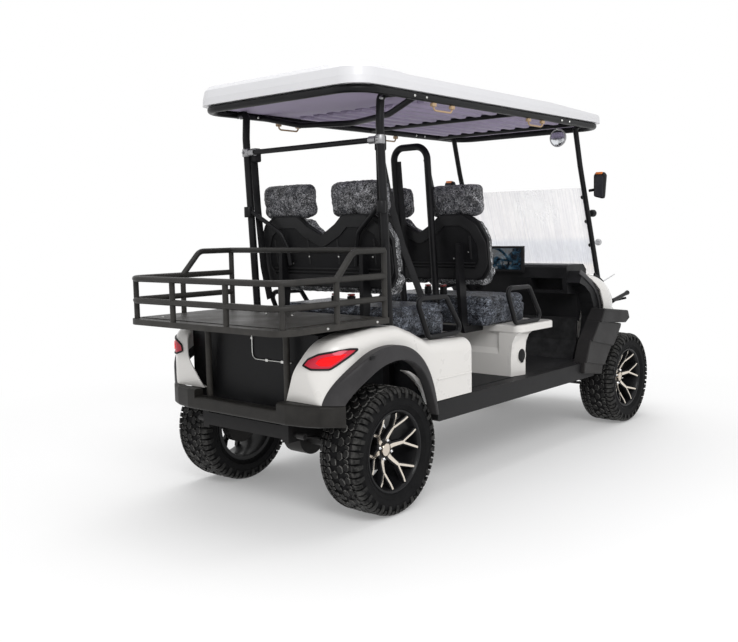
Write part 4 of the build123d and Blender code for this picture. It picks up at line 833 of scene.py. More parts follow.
# %% Carcass
CARCASS_HALF = [
    # distance from the tyre's middle, radius
    (0.0, 0.2815), (0.050, 0.281), (0.085, 0.2785), (0.100, 0.271), (0.1065, 0.258), (0.1090, 0.246),
    (0.1105, 0.2445), (0.1105, 0.2415), (0.1088, 0.240), (0.1085, 0.226), (0.1072, 0.216), (0.1086, 0.2145),
    (0.1080, 0.2115), (0.1045, 0.209), (0.0985, 0.200), (0.0955, 0.1965), (0.0955, 0.1920), (0.0905, 0.1885),
    (0.0880, 0.1800),
]
WHEELS = [
    # name, end of the cart, side
    ("rear_left", 0, 1), ("rear_right", 0, -1), ("front_left", 1, 1), ("front_right", 1, -1),
]


def carcass_bm():
    bm = bmesh.new()
    turned(bm, [(-y, r) for y, r in reversed(CARCASS_HALF)] + CARCASS_HALF[1:], sides=96, loop=True)
    return bm


def place_on_wheel(mesh, end, side):
    """Moves a mesh drawn round the left wheel's own axle line to one of the four wheels."""
    bm = bmesh.new()
    bm.from_mesh(mesh)
    if side < 0:
        for vert in bm.verts:
            vert.co.y = -vert.co.y
        bmesh.ops.reverse_faces(bm, faces=bm.faces[:])
    bmesh.ops.translate(bm, verts=bm.verts, vec=(end * WHEELBASE, side * WHEEL_Y, TYRE_R))
    return bm


carcass_mesh = mesh_from("carcass", carcass_bm())
for name, end, side in WHEELS:
    body = f"wheel_{name}"
    finish_piece(f"carcass_{name}", place_on_wheel(carcass_mesh, end, side), tyre_rubber, body,
                 smooth=35, stands_for=[f"tyre_{name}"])
    finish_piece(f"tread_{name}", place_on_wheel(lug_mesh, end, side), lug_rubber, body,
                 smooth=30)
print("tyres:", len(WHEELS))

# %% [markdown]
# ### Alloy rim
# The rim is a black barrel with six Y-shaped spokes on a dish that falls from the lip to the hub.
# After painting, the faces of the spokes were machined bright; the sides stay black.

# %% Spokes
SPOKES = 6
SPOKE_START = 10             # degrees
SPOKE_STEPS = 7
SPOKE_DEPTH, FACE_EDGE = 0.026, 0.004
FORK_R, TIP_R = 0.106, 0.172
DISH = [(0.0, 0.034), (0.056, 0.034), (0.085, 0.047), (0.120, 0.066), (0.150, 0.083), (0.176, 0.0915)]
BARREL = [
    # along the axle, radius
    (-0.096, 0.170), (-0.096, 0.1885), (-0.0935, 0.190), (-0.089, 0.1875), (-0.088, 0.179), (-0.060, 0.1745),
    (0.060, 0.1745), (0.088, 0.179), (0.089, 0.1875), (0.0925, 0.190), (0.096, 0.188), (0.096, 0.181),
    (0.0915, 0.1765), (0.080, 0.172), (0.050, 0.1665), (-0.075, 0.1665),
]
HUB = [(-0.004, 0.020), (-0.004, 0.056), (0.026, 0.058), (0.033, 0.053), (0.034, 0.040), (0.032, 0.034)]
CAP = [(0.030, 0.030), (0.045, 0.029), (0.0475, 0.026), (0.0485, 0.010), (0.0485, 0.0005)]
NUT = [(0.030, 0.0085), (0.038, 0.0085), (0.040, 0.0070), (0.0400, 0.0005)]
STUD = [(0.0395, 0.0040), (0.0440, 0.0040), (0.0450, 0.0030), (0.0450, 0.0004)]
NUT_CIRCLE = (0, 0, 0.043)


def dish_y(radius):
    """How far outboard the spoke faces are at a radius."""
    for (r0, y0), (r1, y1) in zip(DISH, DISH[1:]):
        if radius <= r1:
            return y0 + (y1 - y0) * (radius - r0) / (r1 - r0)
    return DISH[-1][1]


def spoke_arm(bm, start, end, widths, face_widths):
    """One arm of a spoke in the wheel's plane: a black body with a raised bright face."""
    across = (end - start).normalized().orthogonal()
    rows = []
    for step in range(SPOKE_STEPS + 1):
        t = step / SPOKE_STEPS
        point = start.lerp(end, t)
        body = (widths[0] + (widths[1] - widths[0]) * t) / 2
        bright = (face_widths[0] + (face_widths[1] - face_widths[0]) * t) / 2
        half = [(body, -SPOKE_DEPTH), (body, -FACE_EDGE), (bright, 0.0)]
        section = [(-a, b) for a, b in half] + half[::-1]
        spots = [(point + across * a, dish_y(point.length) + b) for a, b in section]
        rows.append([bm.verts.new((spot.x, y, spot.y)) for spot, y in spots])
    for number, face in enumerate(skin_rings(bm, rows)):
        face.material_index = 1 if number % len(section) == 2 else 0
    bm.faces.new(rows[0])
    bm.faces.new(list(reversed(rows[-1])))


def polar(radius, angle):
    return Vector((radius * cos(radians(angle)), radius * sin(radians(angle))))


def spokes_bm():
    bm = bmesh.new()
    for number in range(SPOKES):
        middle = SPOKE_START + number * 360 / SPOKES
        spoke_arm(bm, polar(0.040, middle), polar(0.112, middle), (0.036, 0.026), (0.020, 0.013))
        for side in SIDES:
            spoke_arm(bm, polar(FORK_R, middle + side * 1.5), polar(TIP_R, middle + side * 15),
                      (0.020, 0.017), (0.010, 0.009))
    bmesh.ops.recalc_face_normals(bm, faces=bm.faces[:])
    uv = bm.loops.layers.uv.new("rings")
    for loop in (loop for face in bm.faces for loop in face.loops):
        co = loop.vert.co
        loop[uv].uv = (hypot(co.x, co.z), atan2(co.z, co.x) / (2 * pi))
    return bm


def turned_mesh(name, *forms):
    """A mesh of turned forms, each with its own settings."""
    bm = bmesh.new()
    for profile, settings in forms:
        turned(bm, profile, **settings)
    return mesh_from(name, bm)


def lug_nut_bm():
    """One wheel nut on its pitch circle, standing on the hub."""
    bm = bmesh.new()
    turned(bm, NUT, NUT_CIRCLE, sides=6)
    turned(bm, STUD, NUT_CIRCLE, sides=12)
    return bm


spoke_mesh = mesh_from("spokes", spokes_bm())
barrel_mesh = turned_mesh("barrel", (BARREL, {"sides": 96, "loop": True}))
hub_mesh = turned_mesh("hub", (HUB, {}), (CAP, {"sides": 40, "material": 1}))
nut_mesh = ring_mesh("wheel nuts", lug_nut_bm(), 4, chrome, radians(20))
for name, end, side in WHEELS:
    for part, mesh, materials, smooth, stands_for in (
            ("rim_barrel", barrel_mesh, rim_black, 40, [f"rim_{name}"]),
            ("rim_spokes", spoke_mesh, [rim_black, machined_alloy], 25, ()),
            ("rim_hub", hub_mesh, [rim_black, machined_alloy], 40, ()),
            ("wheel_nuts", nut_mesh, chrome, 40, ())):
        finish_piece(f"{part}_{name}", place_on_wheel(mesh, end, side), materials,
                     f"wheel_{name}", smooth, stands_for=stands_for)
print("rims:", len(WHEELS))

# %% [markdown]
# ## Basket bolts
# The basket is welded from round tube round a pressed floor, and the CAD model has both. What it
# leaves out are the bright bolts that hold the rails and the floor.

# %% Basket bolts
RAIL_BOLTS = [(-0.36, 0.5305, 0.876), (-0.04, 0.5305, 0.876)]
FLOOR_BOLTS = [(-0.129, 0.088, 0.892), (-0.50, 0.40, 0.892)]


def build_basket_bolts():
    bm = bmesh.new()
    for side in SIDES:
        for x, y, z in RAIL_BOLTS:
            bright_bolt(bm, (x, side * y, z), (0, side, 0), 0.0055, 0.004)
        for x, y, z in FLOOR_BOLTS:
            bright_bolt(bm, (x, side * y, z), Z, 0.0065, 0.003)
    finish_piece("basket_bolts", bm, zinc)


build_basket_bolts()
print("basket bolts made")

# %% [markdown]
# ## Cushions, backs and headrests
# A seat cushion is foam in a sewn vinyl cover, pulled tight at the seams and swollen between them.
# The CAD solid gives its place and size. A copy of it is remeshed and blown up with a cloth
# simulation, each point is kept near where it started, and the seams are pressed in afterwards.

# %% Blowing up a cover
PRESSURE_FRAMES = 16
SEAM_DEPTH = 0.012
BELOW, ABOVE = 0.004, 0.006  # how far a cover may pass its CAD box
FINE_SHIFT = Vector((3, 1, 7))


def cover_from(node, name, voxel, pull_in, rounding, high_z, taller):
    """An even mesh of a CAD soft part with soft corners, drawn small so that it has room to swell."""
    bm = bmesh.new()
    bm.from_mesh(nodes[node].data)
    bmesh.ops.remove_doubles(bm, verts=bm.verts, dist=1e-4)
    cover = linked(name, mesh_from(name, bm))
    remesh = cover.modifiers.new("even", "REMESH")
    remesh.mode = "VOXEL"
    remesh.voxel_size = voxel
    settled(cover)
    bm = bmesh.new()
    bm.from_mesh(cover.data)
    for _ in range(rounding):
        bmesh.ops.smooth_vert(bm, verts=bm.verts, factor=0.5, use_axis_x=True, use_axis_y=True,
                              use_axis_z=True)
    bm.normal_update()
    for vert in bm.verts:
        vert.co -= vert.normal * pull_in
        vert.co.z = high_z - (high_z - vert.co.z) * taller
    bm.to_mesh(cover.data)
    bm.free()
    return cover


def blow_up(cover, pressure, cap):
    """Swells a cover with air pressure. No point moves further than the cap."""
    start = [vert.co.copy() for vert in cover.data.vertices]
    cloth = cover.modifiers.new("swell", "CLOTH")
    cloth.settings.use_pressure = True
    cloth.settings.uniform_pressure_force = pressure
    cloth.settings.effector_weights.gravity = 0
    cloth.settings.quality = 4
    cloth.settings.mass = 0.3
    cloth.settings.tension_stiffness = cloth.settings.compression_stiffness = 12
    cloth.settings.bending_stiffness = 0.6
    cloth.collision_settings.use_collision = False
    cloth.point_cache.frame_start, cloth.point_cache.frame_end = 1, PRESSURE_FRAMES
    for number in range(1, PRESSURE_FRAMES + 1):
        bpy.context.scene.frame_set(number)
    settled(cover)
    bpy.context.scene.frame_set(1)
    for vert, before in zip(cover.data.vertices, start):
        moved = vert.co - before
        if moved.length > cap:
            vert.co = before + moved.normalized() * cap


def press(distance, width):
    """How far a seam at this distance pulls the cover in."""
    return SEAM_DEPTH * (1 - (distance / width) ** 2) ** 2 if distance < width else 0.0


def crumple(point, amount):
    """The film's own creases: a folded noise, sharp along its ridges."""
    coarse = 1 - abs(noise(point * 27))
    fine = 1 - abs(noise(point * 71 + FINE_SHIFT))
    return amount * (coarse ** 3 * 0.65 + fine ** 3 * 0.35 - 0.4)


def shape_cover(cover, low, high, seams, film, floor):
    """Presses the seams in and crumples the film, point by point."""
    normals = [v.vector.copy() for v in cover.data.vertex_normals]
    for vert, normal in zip(cover.data.vertices, normals):
        p = vert.co.copy()
        push = crumple(p, film)
        for axis, place, width in seams:
            push -= press(abs(p[axis] - place), width) * (1 - 0.7 * abs(normal[axis]))
        vert.co = p + normal * push
        vert.co.z = max(vert.co.z, floor)
        for axis in range(3):
            vert.co[axis] = min(max(vert.co[axis], low[axis] - BELOW), high[axis] + ABOVE)


def padded_piece(node, name, material, voxel, pull_in, pressure, cap, seams=(), film=0.0035, floor=0.0,
                 rounding=3, taller=1.0):
    low, high = corners_of(node)
    cover = cover_from(node, name, voxel, pull_in, rounding, high.z, taller)
    low.z = high.z - (high.z - low.z) * taller
    blow_up(cover, pressure, cap)
    finer = cover.modifiers.new("finer", "SUBSURF")
    finer.levels = finer.render_levels = 1
    settled(cover)
    shape_cover(cover, low, high, seams, film, floor)
    cover.data.materials.clear()
    cover.data.materials.append(material)
    cover.data.shade_smooth()
    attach(cover, "cart")
    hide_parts(node)
    print(name, len(cover.data.polygons) * 2, "triangles")

# %% [markdown]
# ### Two cushions, two backs and the headrests
# Each bench cushion has a seam down the middle and one round its side where the top panel meets the
# boxing. The backs are split the same way, and have a cross channel at the small of the back.

# %% Bench cushions and backs
BOXING = 0.042               # from a cushion's top down to its side seam
SMALL_OF_BACK = 0.13         # from a back's foot up to its cross channel
SIDE_CHANNEL_Y = 0.215

for row in ("rear", "front"):
    low, high = corners_of(f"{row}_cushion")
    padded_piece(f"{row}_cushion", f"{row}_cushion_cover", wrapped_cushion, 0.0105, 0.010, 4.0, 0.024,
                 seams=((1, 0.0, 0.020), (2, high.z - BOXING, 0.012)), floor=low.z)
    low, high = corners_of(f"{row}_back_pad")
    padded_piece(f"{row}_back_pad", f"{row}_back_cover", wrapped_back, 0.0105, 0.008, 3.0, 0.018,
                 seams=((1, 0.0, 0.018), (2, low.z + SMALL_OF_BACK, 0.014),
                        (1, SIDE_CHANNEL_Y, 0.010), (1, -SIDE_CHANNEL_Y, 0.010)))
padded_piece("headrests", "headrest_covers", wrapped_rest, 0.0085, 0.0, 4.0, 0.014,
             film=0.005, rounding=9, taller=1.22)

# %% [markdown]
# ## Seat-back shells
# The rear of each bench is a moulded shell: a smooth raised band round the edge, a recessed panel,
# stiffening ridges at half height and a row of screws that hold the pad's clips.

# %% Shell mouldings
SEAT_LEAN = radians(8)
SHELL_MIDDLE = 1.18
SHELL_ROWS = (0.185, 0.985)
SHELL_UP = Vector((-sin(SEAT_LEAN), 0, cos(SEAT_LEAN)))
SHELL_OUT = Vector((-cos(SEAT_LEAN), 0, -sin(SEAT_LEAN)))
SCREWS = [(-0.318, 1.153), (-0.1, 1.153), (0.1, 1.153), (0.318, 1.153), (-0.222, 1.117), (0.222, 1.117)]


def on_shell(row_x, y, z, out=0.0):
    """A point on the rear face of a seat-back shell, standing off it by out."""
    return Vector((row_x, y, SHELL_MIDDLE)) + SHELL_UP * (z - SHELL_MIDDLE) + SHELL_OUT * out


def shell_outline(inset):
    """The shell's edge as (y, z), two humps with a dip between them, drawn inset."""
    half, top, bottom = 0.445 - inset, 1.36 - inset, 1.0 + inset
    side = [(half - 0.04, bottom), (half, bottom + 0.06), (half, top - 0.13), (half - 0.045, top - 0.045),
            (half - 0.12, top), (0.15 + inset * 0.4, top), (0.095 + inset * 0.4, top - 0.045)]
    return side + [(0, 1.262 - inset)] + [(-y, z) for y, z in reversed(side)]


def build_shell_mouldings():
    bm = bmesh.new()
    for row_x in SHELL_ROWS:
        band = [on_shell(row_x, y, z, 0.0025) for y, z in shell_outline(0.034)]
        sweep(bm, bent_path(band, 0.03, closed=True), slab(0.056, 0.007), closed=True, up=SHELL_OUT)
        for z in (1.093, 1.075):
            ridge = [on_shell(row_x, y, z, 0.001) for y in (-0.36, 0.36)]
            sweep(bm, ridge, slab(0.007, 0.012), up=SHELL_OUT)
        for y in (-0.335, -0.10, 0.10, 0.335):
            sweep(bm, [on_shell(row_x, y, z) for z in (1.115, 1.24)], slab(0.012, 0.005), up=SHELL_OUT)
    finish_piece("seat_shell_mouldings", bm, shell_band)


def build_shell_screws():
    bm = bmesh.new()
    for row_x in SHELL_ROWS:
        for y, z in SCREWS:
            path = [on_shell(row_x, y, z, stand) for stand in (0.001, 0.0032, 0.0044)]
            sweep(bm, path, circle(0.0055, 12), up=SHELL_UP, scale=[1, 0.92, 0.6])
    finish_piece("seat_shell_screws", bm, zinc)


build_shell_mouldings()
build_shell_screws()
print("shells:", len(SHELL_ROWS), "with", len(SCREWS), "screws each")

# %% [markdown]
# ## Seat belts
# Retractable belts hang from the rear posts and from the hoop behind the front seat. Webbing is a
# flat strap, so it is drawn as one, and the buckles and retractors are small moulded blocks.

# %% Belts and buckles
WEBBING = (0.046, 0.0022)    # width, thickness
BELTS = [
    # points down the strap
    [(0.122, -0.420, 1.70), (0.135, -0.415, 1.40), (0.16, -0.41, 1.10), (0.19, -0.40, 0.93)],
    [(0.122, 0.420, 1.70), (0.135, 0.415, 1.40), (0.16, 0.41, 1.10), (0.19, 0.40, 0.93)],
    [(0.135, -0.405, 1.69), (0.24, -0.385, 1.42), (0.345, -0.375, 1.20), (0.46, -0.40, 0.945)],
    [(0.912, 0.095, 1.66), (0.93, 0.088, 1.40), (0.955, 0.078, 1.15)],
    [(0.915, -0.095, 1.66), (0.945, -0.125, 1.44), (0.99, -0.17, 1.30)],
]
BUCKLE_Z = 0.915
BACK_STAY = [(0.103, 0.425, 1.385), (0.128, 0.345, 1.33), (0.150, 0.262, 1.272), (0.168, 0.236, 1.20),
             (0.176, 0.224, 1.110)]
POST_X, POST_Y = 0.099, 0.448


def build_belts():
    bm = bmesh.new()
    for points in BELTS:
        sweep(bm, bent_path(points, 0.15, steps=5), slab(*WEBBING), up=Y)
    finish_piece("seat_belts", bm, webbing_black, smooth=60)


def build_buckles():
    bm = bmesh.new()
    for place in (Vector((x, y, BUCKLE_Z)) for x in (0.33, 1.13) for y in (-0.05, 0.06)):
        block(bm, place - Vector((0.022, 0.012, 0.03)), place + Vector((0.022, 0.012, 0.035)), 0.005, 3)
        button = place + Z * 0.041
        half = Vector((0.016, 0.0125, 0.005))
        block(bm, button - half, button + half, material=1)
    for place in (Vector((0.128, side * 0.418, 1.675)) for side in SIDES):
        block(bm, place - Vector((0.024, 0.03, 0.035)), place + Vector((0.02, 0.012, 0.035)), 0.008, 3)
    finish_piece("belt_buckles", bm, [black_plastic, buckle_red])


def build_back_stays():
    """A bent tube on each side that ties the rear seat back to the post."""
    bm = bmesh.new()
    for side in SIDES:
        steel_tube(bm, [(x, side * y, z) for x, y, z in BACK_STAY], 0.011, 0.08, X)
        collar = [Vector((POST_X, side * POST_Y, z)) for z in (1.358, 1.362, 1.408, 1.412)]
        sweep(bm, collar, circle(0.0225, 20), up=Y, scale=[0.92, 1, 1, 0.92])
    finish_piece("seat_back_stays", bm, tube_coat)


build_belts()
build_buckles()
build_back_stays()
print("belts", len(BELTS))

# %% [markdown]
# ## Rear recess
# Between the rear corners is a dark moulded well. A thin bright pipe runs down its face and turns
# across to the right, and the panel is stiffened by two upright folds.

# %% Well pipe and folds
WELL_PIPE = [(-0.3135, -0.008, 0.845), (-0.3135, -0.008, 0.704), (-0.3135, -0.262, 0.704)]
PIPE_CLIPS = [(-0.008, 0.80, 0.006), (-0.105, 0.704, 0.009), (-0.205, 0.704, 0.009)]    # y, z, half width
FOLD = [(-0.020, -0.3015), (-0.012, -0.307), (0.012, -0.307), (0.020, -0.3015)]         # across, x


def build_well_pipe():
    bm = bmesh.new()
    steel_tube(bm, WELL_PIPE, 0.0028, 0.035, X, sides=10)
    for y, z, across in PIPE_CLIPS:
        block(bm, (-0.3175, y - across, z - 0.006), (-0.3020, y + across, z + 0.006), 0.0015)
    finish_piece("well_pipe", bm, zinc)


def build_well_folds():
    bm = bmesh.new()
    for y in (-0.125, 0.125):
        prism(bm, [(x, y + across) for across, x in FOLD], 0.575, 0.842, "Z", 0.002)
    finish_piece("well_folds", bm, well_plastic)


build_well_pipe()
build_well_folds()
print("well pipe and folds made")

# %% [markdown]
# ## Lamps
# Each lens is set in a dark gasket, and its inside is split into facets. A tail lamp has a bright red
# heart and a pink patch towards its outer end, a painted highlight; a headlamp has a dark bowl with
# two round projectors. The gasket follows the rim of the CAD lens, and the facets are cast on to the
# lens, so both keep to the body's curve.

# %% Lens rims and facets
RIM_POINTS = 72
CAST_FROM = 0.2              # how far outside the lens a facet's points are cast from


def loop_length(loop):
    return sum((a - b).length for a, b in zip(loop, loop[1:] + loop[:1]))


def middle_of_loop(loop):
    return sum(loop, Vector()) / len(loop)


def outer_rim(node, side, outward):
    """The chain of points round the outward-facing side of the lens on one side of the cart."""
    bm = bmesh.new()
    bm.from_mesh(nodes[node].data)
    bmesh.ops.remove_doubles(bm, verts=bm.verts, dist=1e-5)
    seen = {f for f in bm.faces if f.calc_center_median().y * side > 0 and f.normal.dot(outward) > 0.3}
    edges = {e for f in seen for e in f.edges if sum(g in seen for g in e.link_faces) == 1}
    chains = []
    for edge in bm.edges:
        if edge not in edges:
            continue
        edges.discard(edge)
        chain = list(edge.verts)
        while chain[0] != chain[-1]:
            following = next((e for e in chain[-1].link_edges if e in edges), None)
            if following is None:
                break
            edges.discard(following)
            chain.append(following.other_vert(chain[-1]))
        chains.append([v.co.copy() for v in chain[:-1]])
    bm.free()
    return max(chains, key=loop_length)


def evenly(loop):
    """A closed chain of points set at even steps."""
    step = loop_length(loop) / RIM_POINTS
    points, walked = [], 0.0
    for a, b in zip(loop, loop[1:] + loop[:1]):
        size = (b - a).length
        while size and len(points) < RIM_POINTS and len(points) * step <= walked + size:
            points.append(a.lerp(b, (len(points) * step - walked) / size))
        walked += size
    return points


def lens_skin(node):
    bm = bmesh.new()
    bm.from_mesh(nodes[node].data)
    skin = BVHTree.FromBMesh(bm)
    bm.free()
    return skin


def facet(bm, skin, rim, outward, height, material=0):
    """A low dome inside a rim of points, cast on to the lens."""
    centre = middle_of_loop(rim)
    rows = []
    dome = ((1.0, -0.002), (0.98, 0.45 * height), (0.9, 0.8 * height), (0.5, height), (0.02, height))
    for size, stand in dome:
        row = []
        for p in rim:
            point = centre + (p - centre) * size
            foot = skin.ray_cast(point + outward * CAST_FROM, -outward, 0.5)[0]
            row.append(bm.verts.new((foot or point) + outward * stand))
        rows.append(row)
    faces = [bm.faces.new(rows[0]), bm.faces.new(rows[-1])] + skin_rings(bm, rows)
    for face in faces:
        face.material_index = material
    bmesh.ops.recalc_face_normals(bm, faces=faces)


def shrunk(rim, size, shift=(0, 0, 0)):
    centre = middle_of_loop(rim)
    return [centre + Vector(shift) + (p - centre) * size for p in rim]

# %% Gaskets and facets
TAIL_OUT, HEAD_OUT = (-0.62, 0.75, 0.22), (0.90, 0.10, 0.42)
PROJECTORS = [(-0.045, -0.002, 0.027), (0.038, 0.006, 0.023)]       # across, up, radius
PROJECTOR_SQUASH = 0.62


def rim_with_gasket(gaskets, node, side, facing, thick):
    """Lays a gasket round one lens. Returns the lens's rim, its skin and the way it faces."""
    outward = Vector((facing[0], side * facing[1], facing[2])).normalized()
    rim = evenly(outer_rim(node, side, outward))
    sweep(gaskets, rim, slab(0.0085, thick), closed=True, up=outward)
    return rim, lens_skin(node), outward


def build_lamps():
    gaskets, tails, heads = bmesh.new(), bmesh.new(), bmesh.new()
    for side in SIDES:
        rim, skin, outward = rim_with_gasket(gaskets, "tail_lamps", side, TAIL_OUT, 0.006)
        facet(tails, skin, shrunk(rim, 0.58, (0, 0, -0.006)), outward, 0.0034)
        # The second, pink facet is a painted highlight.
        facet(tails, skin, shrunk(rim, 0.34, (0.045, side * 0.012, 0.022)), outward, 0.0034, 1)
        rim, skin, outward = rim_with_gasket(gaskets, "headlamps", side, HEAD_OUT, 0.005)
        facet(heads, skin, shrunk(rim, 0.84), outward, 0.0010)
        for across, up, radius in PROJECTORS:
            centre = middle_of_loop(rim) + Vector((0, side * across, up))
            bowl = [centre + Vector((0, a, -b)) for a, b in oval(radius, PROJECTOR_SQUASH * radius)]
            facet(heads, skin, bowl, outward, 0.0030, 1)
    finish_piece("lamp_gaskets", gaskets, black_plastic, shift=False, smooth=60)
    finish_piece("tail_lamp_facets", tails, [lens_red, lens_pink], shift=False, smooth=30)
    finish_piece("headlamp_bowls", heads, [lens_smoke, chrome], shift=False, smooth=30)


build_lamps()
print("lamps made")

# %% [markdown]
# ## Wheel arch details
# The body's inner edge shows as a pale strip inside the front half of each rear arch, held by two
# bright clips, and a small rubber tab sits on the flare above the tyre.

# %% Arch strips, clips and tabs
STRIP_ARC = (24, 66)         # degrees
CLIP_ANGLES = (33, 46)
TAB_Y = 0.6235


def arch_point(radius, angle, y):
    """A point on an arc round the rear axle."""
    return Vector((radius * cos(radians(angle)), y, TYRE_R + radius * sin(radians(angle))))


def build_arch_strips():
    bm = bmesh.new()
    start, end = STRIP_ARC
    for side in SIDES:
        arc = [arch_point(0.372, start + (end - start) * k / 14, side * 0.527) for k in range(15)]
        sweep(bm, arc, slab(0.050, 0.004), up=X)
    finish_piece("arch_strips", bm, body_paint, smooth=60)


def build_arch_clips():
    bm = bmesh.new()
    for side in SIDES:
        for angle in CLIP_ANGLES:
            point = arch_point(0.366, angle, side * 0.574)
            inward = Vector((-point.x, 0, TYRE_R - point.z))
            bright_bolt(bm, point, inward, 0.0085, 0.005)
    finish_piece("arch_clips", bm, zinc)


def build_flare_tabs():
    bm = bmesh.new()
    for side in SIDES:
        y = side * TAB_Y
        block(bm, (-0.206, y - 0.0045, 0.735), (-0.170, y + 0.0015, 0.750), 0.002)
    finish_piece("flare_tabs", bm, black_plastic)


build_arch_strips()
build_arch_clips()
build_flare_tabs()
print("arch details made")

# %% [markdown]
# ## Body seams and the seat-box port
# The side of the rear body is pressed in two steps that meet in a fine bright line. The front seat
# box has an oval charging port with a dark flap, a raised rim and a finger tab.

# %% Seams and port
SEAM_ENDS = [(0.352, 0.5705, 0.5665), (0.636, 0.5705, 0.5665)]
PORT = Vector((1.2662, -0.4843, 0.567))
PORT_OUT = Vector((-0.247, -0.969, 0))
PORT_TAB_DOWN = 0.034
PORT_TAB = rounded([(-0.010, -0.006), (-0.010, 0.006), (0.010, 0.006), (0.010, -0.006)], 0.003, 3)


def build_side_seams():
    bm = bmesh.new()
    for side in SIDES:
        sweep(bm, [(x, side * y, z) for x, y, z in SEAM_ENDS], slab(0.0070, 0.009))
    finish_piece("side_seams", bm, body_paint)


def build_port():
    bm = bmesh.new()
    across = PORT_OUT.cross(Z)
    rim = [PORT + PORT_OUT * 0.001 + across * a + Z * b for a, b in oval(0.030, 0.040)]
    sweep(bm, rim, circle(0.0028, 10), closed=True, up=PORT_OUT)
    flap = [PORT + PORT_OUT * stand for stand in (-0.004, 0.0012, 0.0026)]
    sweep(bm, flap, oval(0.028, 0.038), material=1, scale=[1, 1, 0.9])
    tab = [PORT - Z * PORT_TAB_DOWN + PORT_OUT * stand for stand in (0.001, 0.006)]
    sweep(bm, tab, PORT_TAB, material=1)
    finish_piece("charging_port", bm, [body_paint, black_plastic])


build_side_seams()
build_port()
print("seams and port made")

# %% [markdown]
# ## Dash arcs
# The dash is a black moulding whose outer edge shows as a paler arc that drops to the cowl on each
# side. The arc is a flat, paler band carried along the outer edge: a painted highlight where the edge
# catches the light.

# %% Dash arcs
DASH_ARC = [(1.896, 1.018), (1.960, 0.990), (2.031, 0.952), (2.090, 0.917), (2.134, 0.874), (2.162, 0.830),
            (2.175, 0.79), (2.185, 0.708), (2.167, 0.63)]
DASH_ARC_Y = 0.5235


def build_dash_arcs():
    bm = bmesh.new()
    for side in SIDES:
        arc = [(x - 0.012, side * DASH_ARC_Y, z - 0.010) for x, z in DASH_ARC]
        sweep(bm, bent_path(arc, 0.05, steps=4), slab(0.006, 0.030))
    finish_piece("dash_arcs", bm, painted_highlight_grey, smooth=60)


build_dash_arcs()
print("dash arcs made")

# %% [markdown]
# ## Screen
# The touch screen stands on the dash in a thick black bezel. Its picture is a thin plate in front of
# the CAD display, and the bezel is a bead round the display's face.

# %% Screen piece
def box_outline(low, high, side_in, below_in, above_in, radius, steps):
    """The display's face as (y, z), drawn inset with rounded corners."""
    left, right, bottom, top = low.y + side_in, high.y - side_in, low.z + below_in, high.z - above_in
    return rounded([(left, bottom), (right, bottom), (right, top), (left, top)], radius, steps)


def build_screen():
    low, high = corners_of("display")
    picture, bezel = bmesh.new(), bmesh.new()
    outline = box_outline(low, high, 0.018, 0.020, 0.014, 0.004, 3)
    prism(picture, outline, low.x - 0.0012, low.x + 0.0015, "X", 0.0006)
    edge = box_outline(low, high, 0.008, 0.009, 0.007, 0.008, 4)
    sweep(bezel, [(low.x - 0.0005, y, z) for y, z in edge], circle(0.0045, 10), closed=True, up=X)
    finish_piece("screen_picture", picture, screen_glass, shift=False)
    finish_piece("screen_bezel", bezel, black_plastic, shift=False)


build_screen()
print("screen made")

# %% [markdown]
# ## Pillar hardware
# Each windshield pillar ends in a foot bracket bolted to the cowl, and carries two round latches that
# hold the folding pane: a black one above and a pale one below. A short stalk stands out from the
# cowl beside the front flare, with a thin arm under it, and a pale rod lies along the cowl's top.

# %% Brackets, latches and stalks
FOOT = [(2.205, 0.458, 0.972), (2.262, 0.464, 0.944), (2.325, 0.460, 0.915)]
STALK = [(2.485, 0.449, 0.783), (2.53, 0.452, 0.792), (2.68, 0.452, 0.818), (2.722, 0.450, 0.825)]
STALK_ARM = [(2.700, 0.450, 0.790), (2.702, 0.330, 0.760)]
COWL_ROD = [(2.35, 0.400, 0.905), (2.405, 0.434, 0.925), (2.548, 0.436, 0.958)]
LATCH_Y = 0.452
BLACK_LATCH = [(x, LATCH_Y, 1.362) for x in (2.166, 2.178, 2.200, 2.206)]
PALE_LATCH = [(-0.012, 0.006), (-0.010, 0.017), (0.0, 0.022), (0.014, 0.020), (0.020, 0.010)]


def on_side(points, side):
    return [Vector((x, side * y, z)) for x, y, z in points]


def build_pillar_hardware():
    bm = bmesh.new()
    for side in SIDES:
        sweep(bm, bent_path(on_side(FOOT, side), 0.03), slab(0.026, 0.010), up=Y)
        sweep(bm, on_side(BLACK_LATCH, side), circle(0.023, 20), scale=[0.8, 1, 1, 0.7])
        sweep(bm, on_side(STALK, side), circle(0.0125, 14), up=Y, scale=[1.25, 1.0, 1.0, 1.3])
        sweep(bm, on_side(STALK_ARM, side), circle(0.008, 10))
    finish_piece("pillar_hardware", bm, black_plastic)


def build_pale_latches():
    bm = bmesh.new()
    for side in SIDES:
        turned(bm, PALE_LATCH, (2.268, side * LATCH_Y, 1.178), "X", 20)
        sweep(bm, on_side(COWL_ROD, side), circle(0.0035, 10), up=Y)
    finish_piece("pale_latches", bm, pale_plastic, smooth=50)


build_pillar_hardware()
build_pale_latches()
print("pillar hardware made")

# %% [markdown]
# ## Side mirrors
# A door mirror is a rounded shell with its glass set into its rear face, painted dark grey in place of
# a reflection, and an amber repeater let into its top. It takes the place of the CAD block.

# %% Mirrors
# Each outline is (distance in from the mirror's outer side, height above its foot or below its top).
MIRROR_SHELL = [(0.078, 0.022), (0.012, 0.004), (0.001, -0.020), (0.014, -0.001), (0.070, -0.004),
                (0.079, -0.022)]
MIRROR_GLASS = [(0.068, 0.026), (0.014, 0.014), (0.011, -0.024), (0.064, -0.018)]
REPEATER = [(0.062, -0.014), (0.018, -0.014), (0.018, -0.0005), (0.062, -0.0005)]
ARM_OUTER, ARM_INNER = 0.076, 0.482


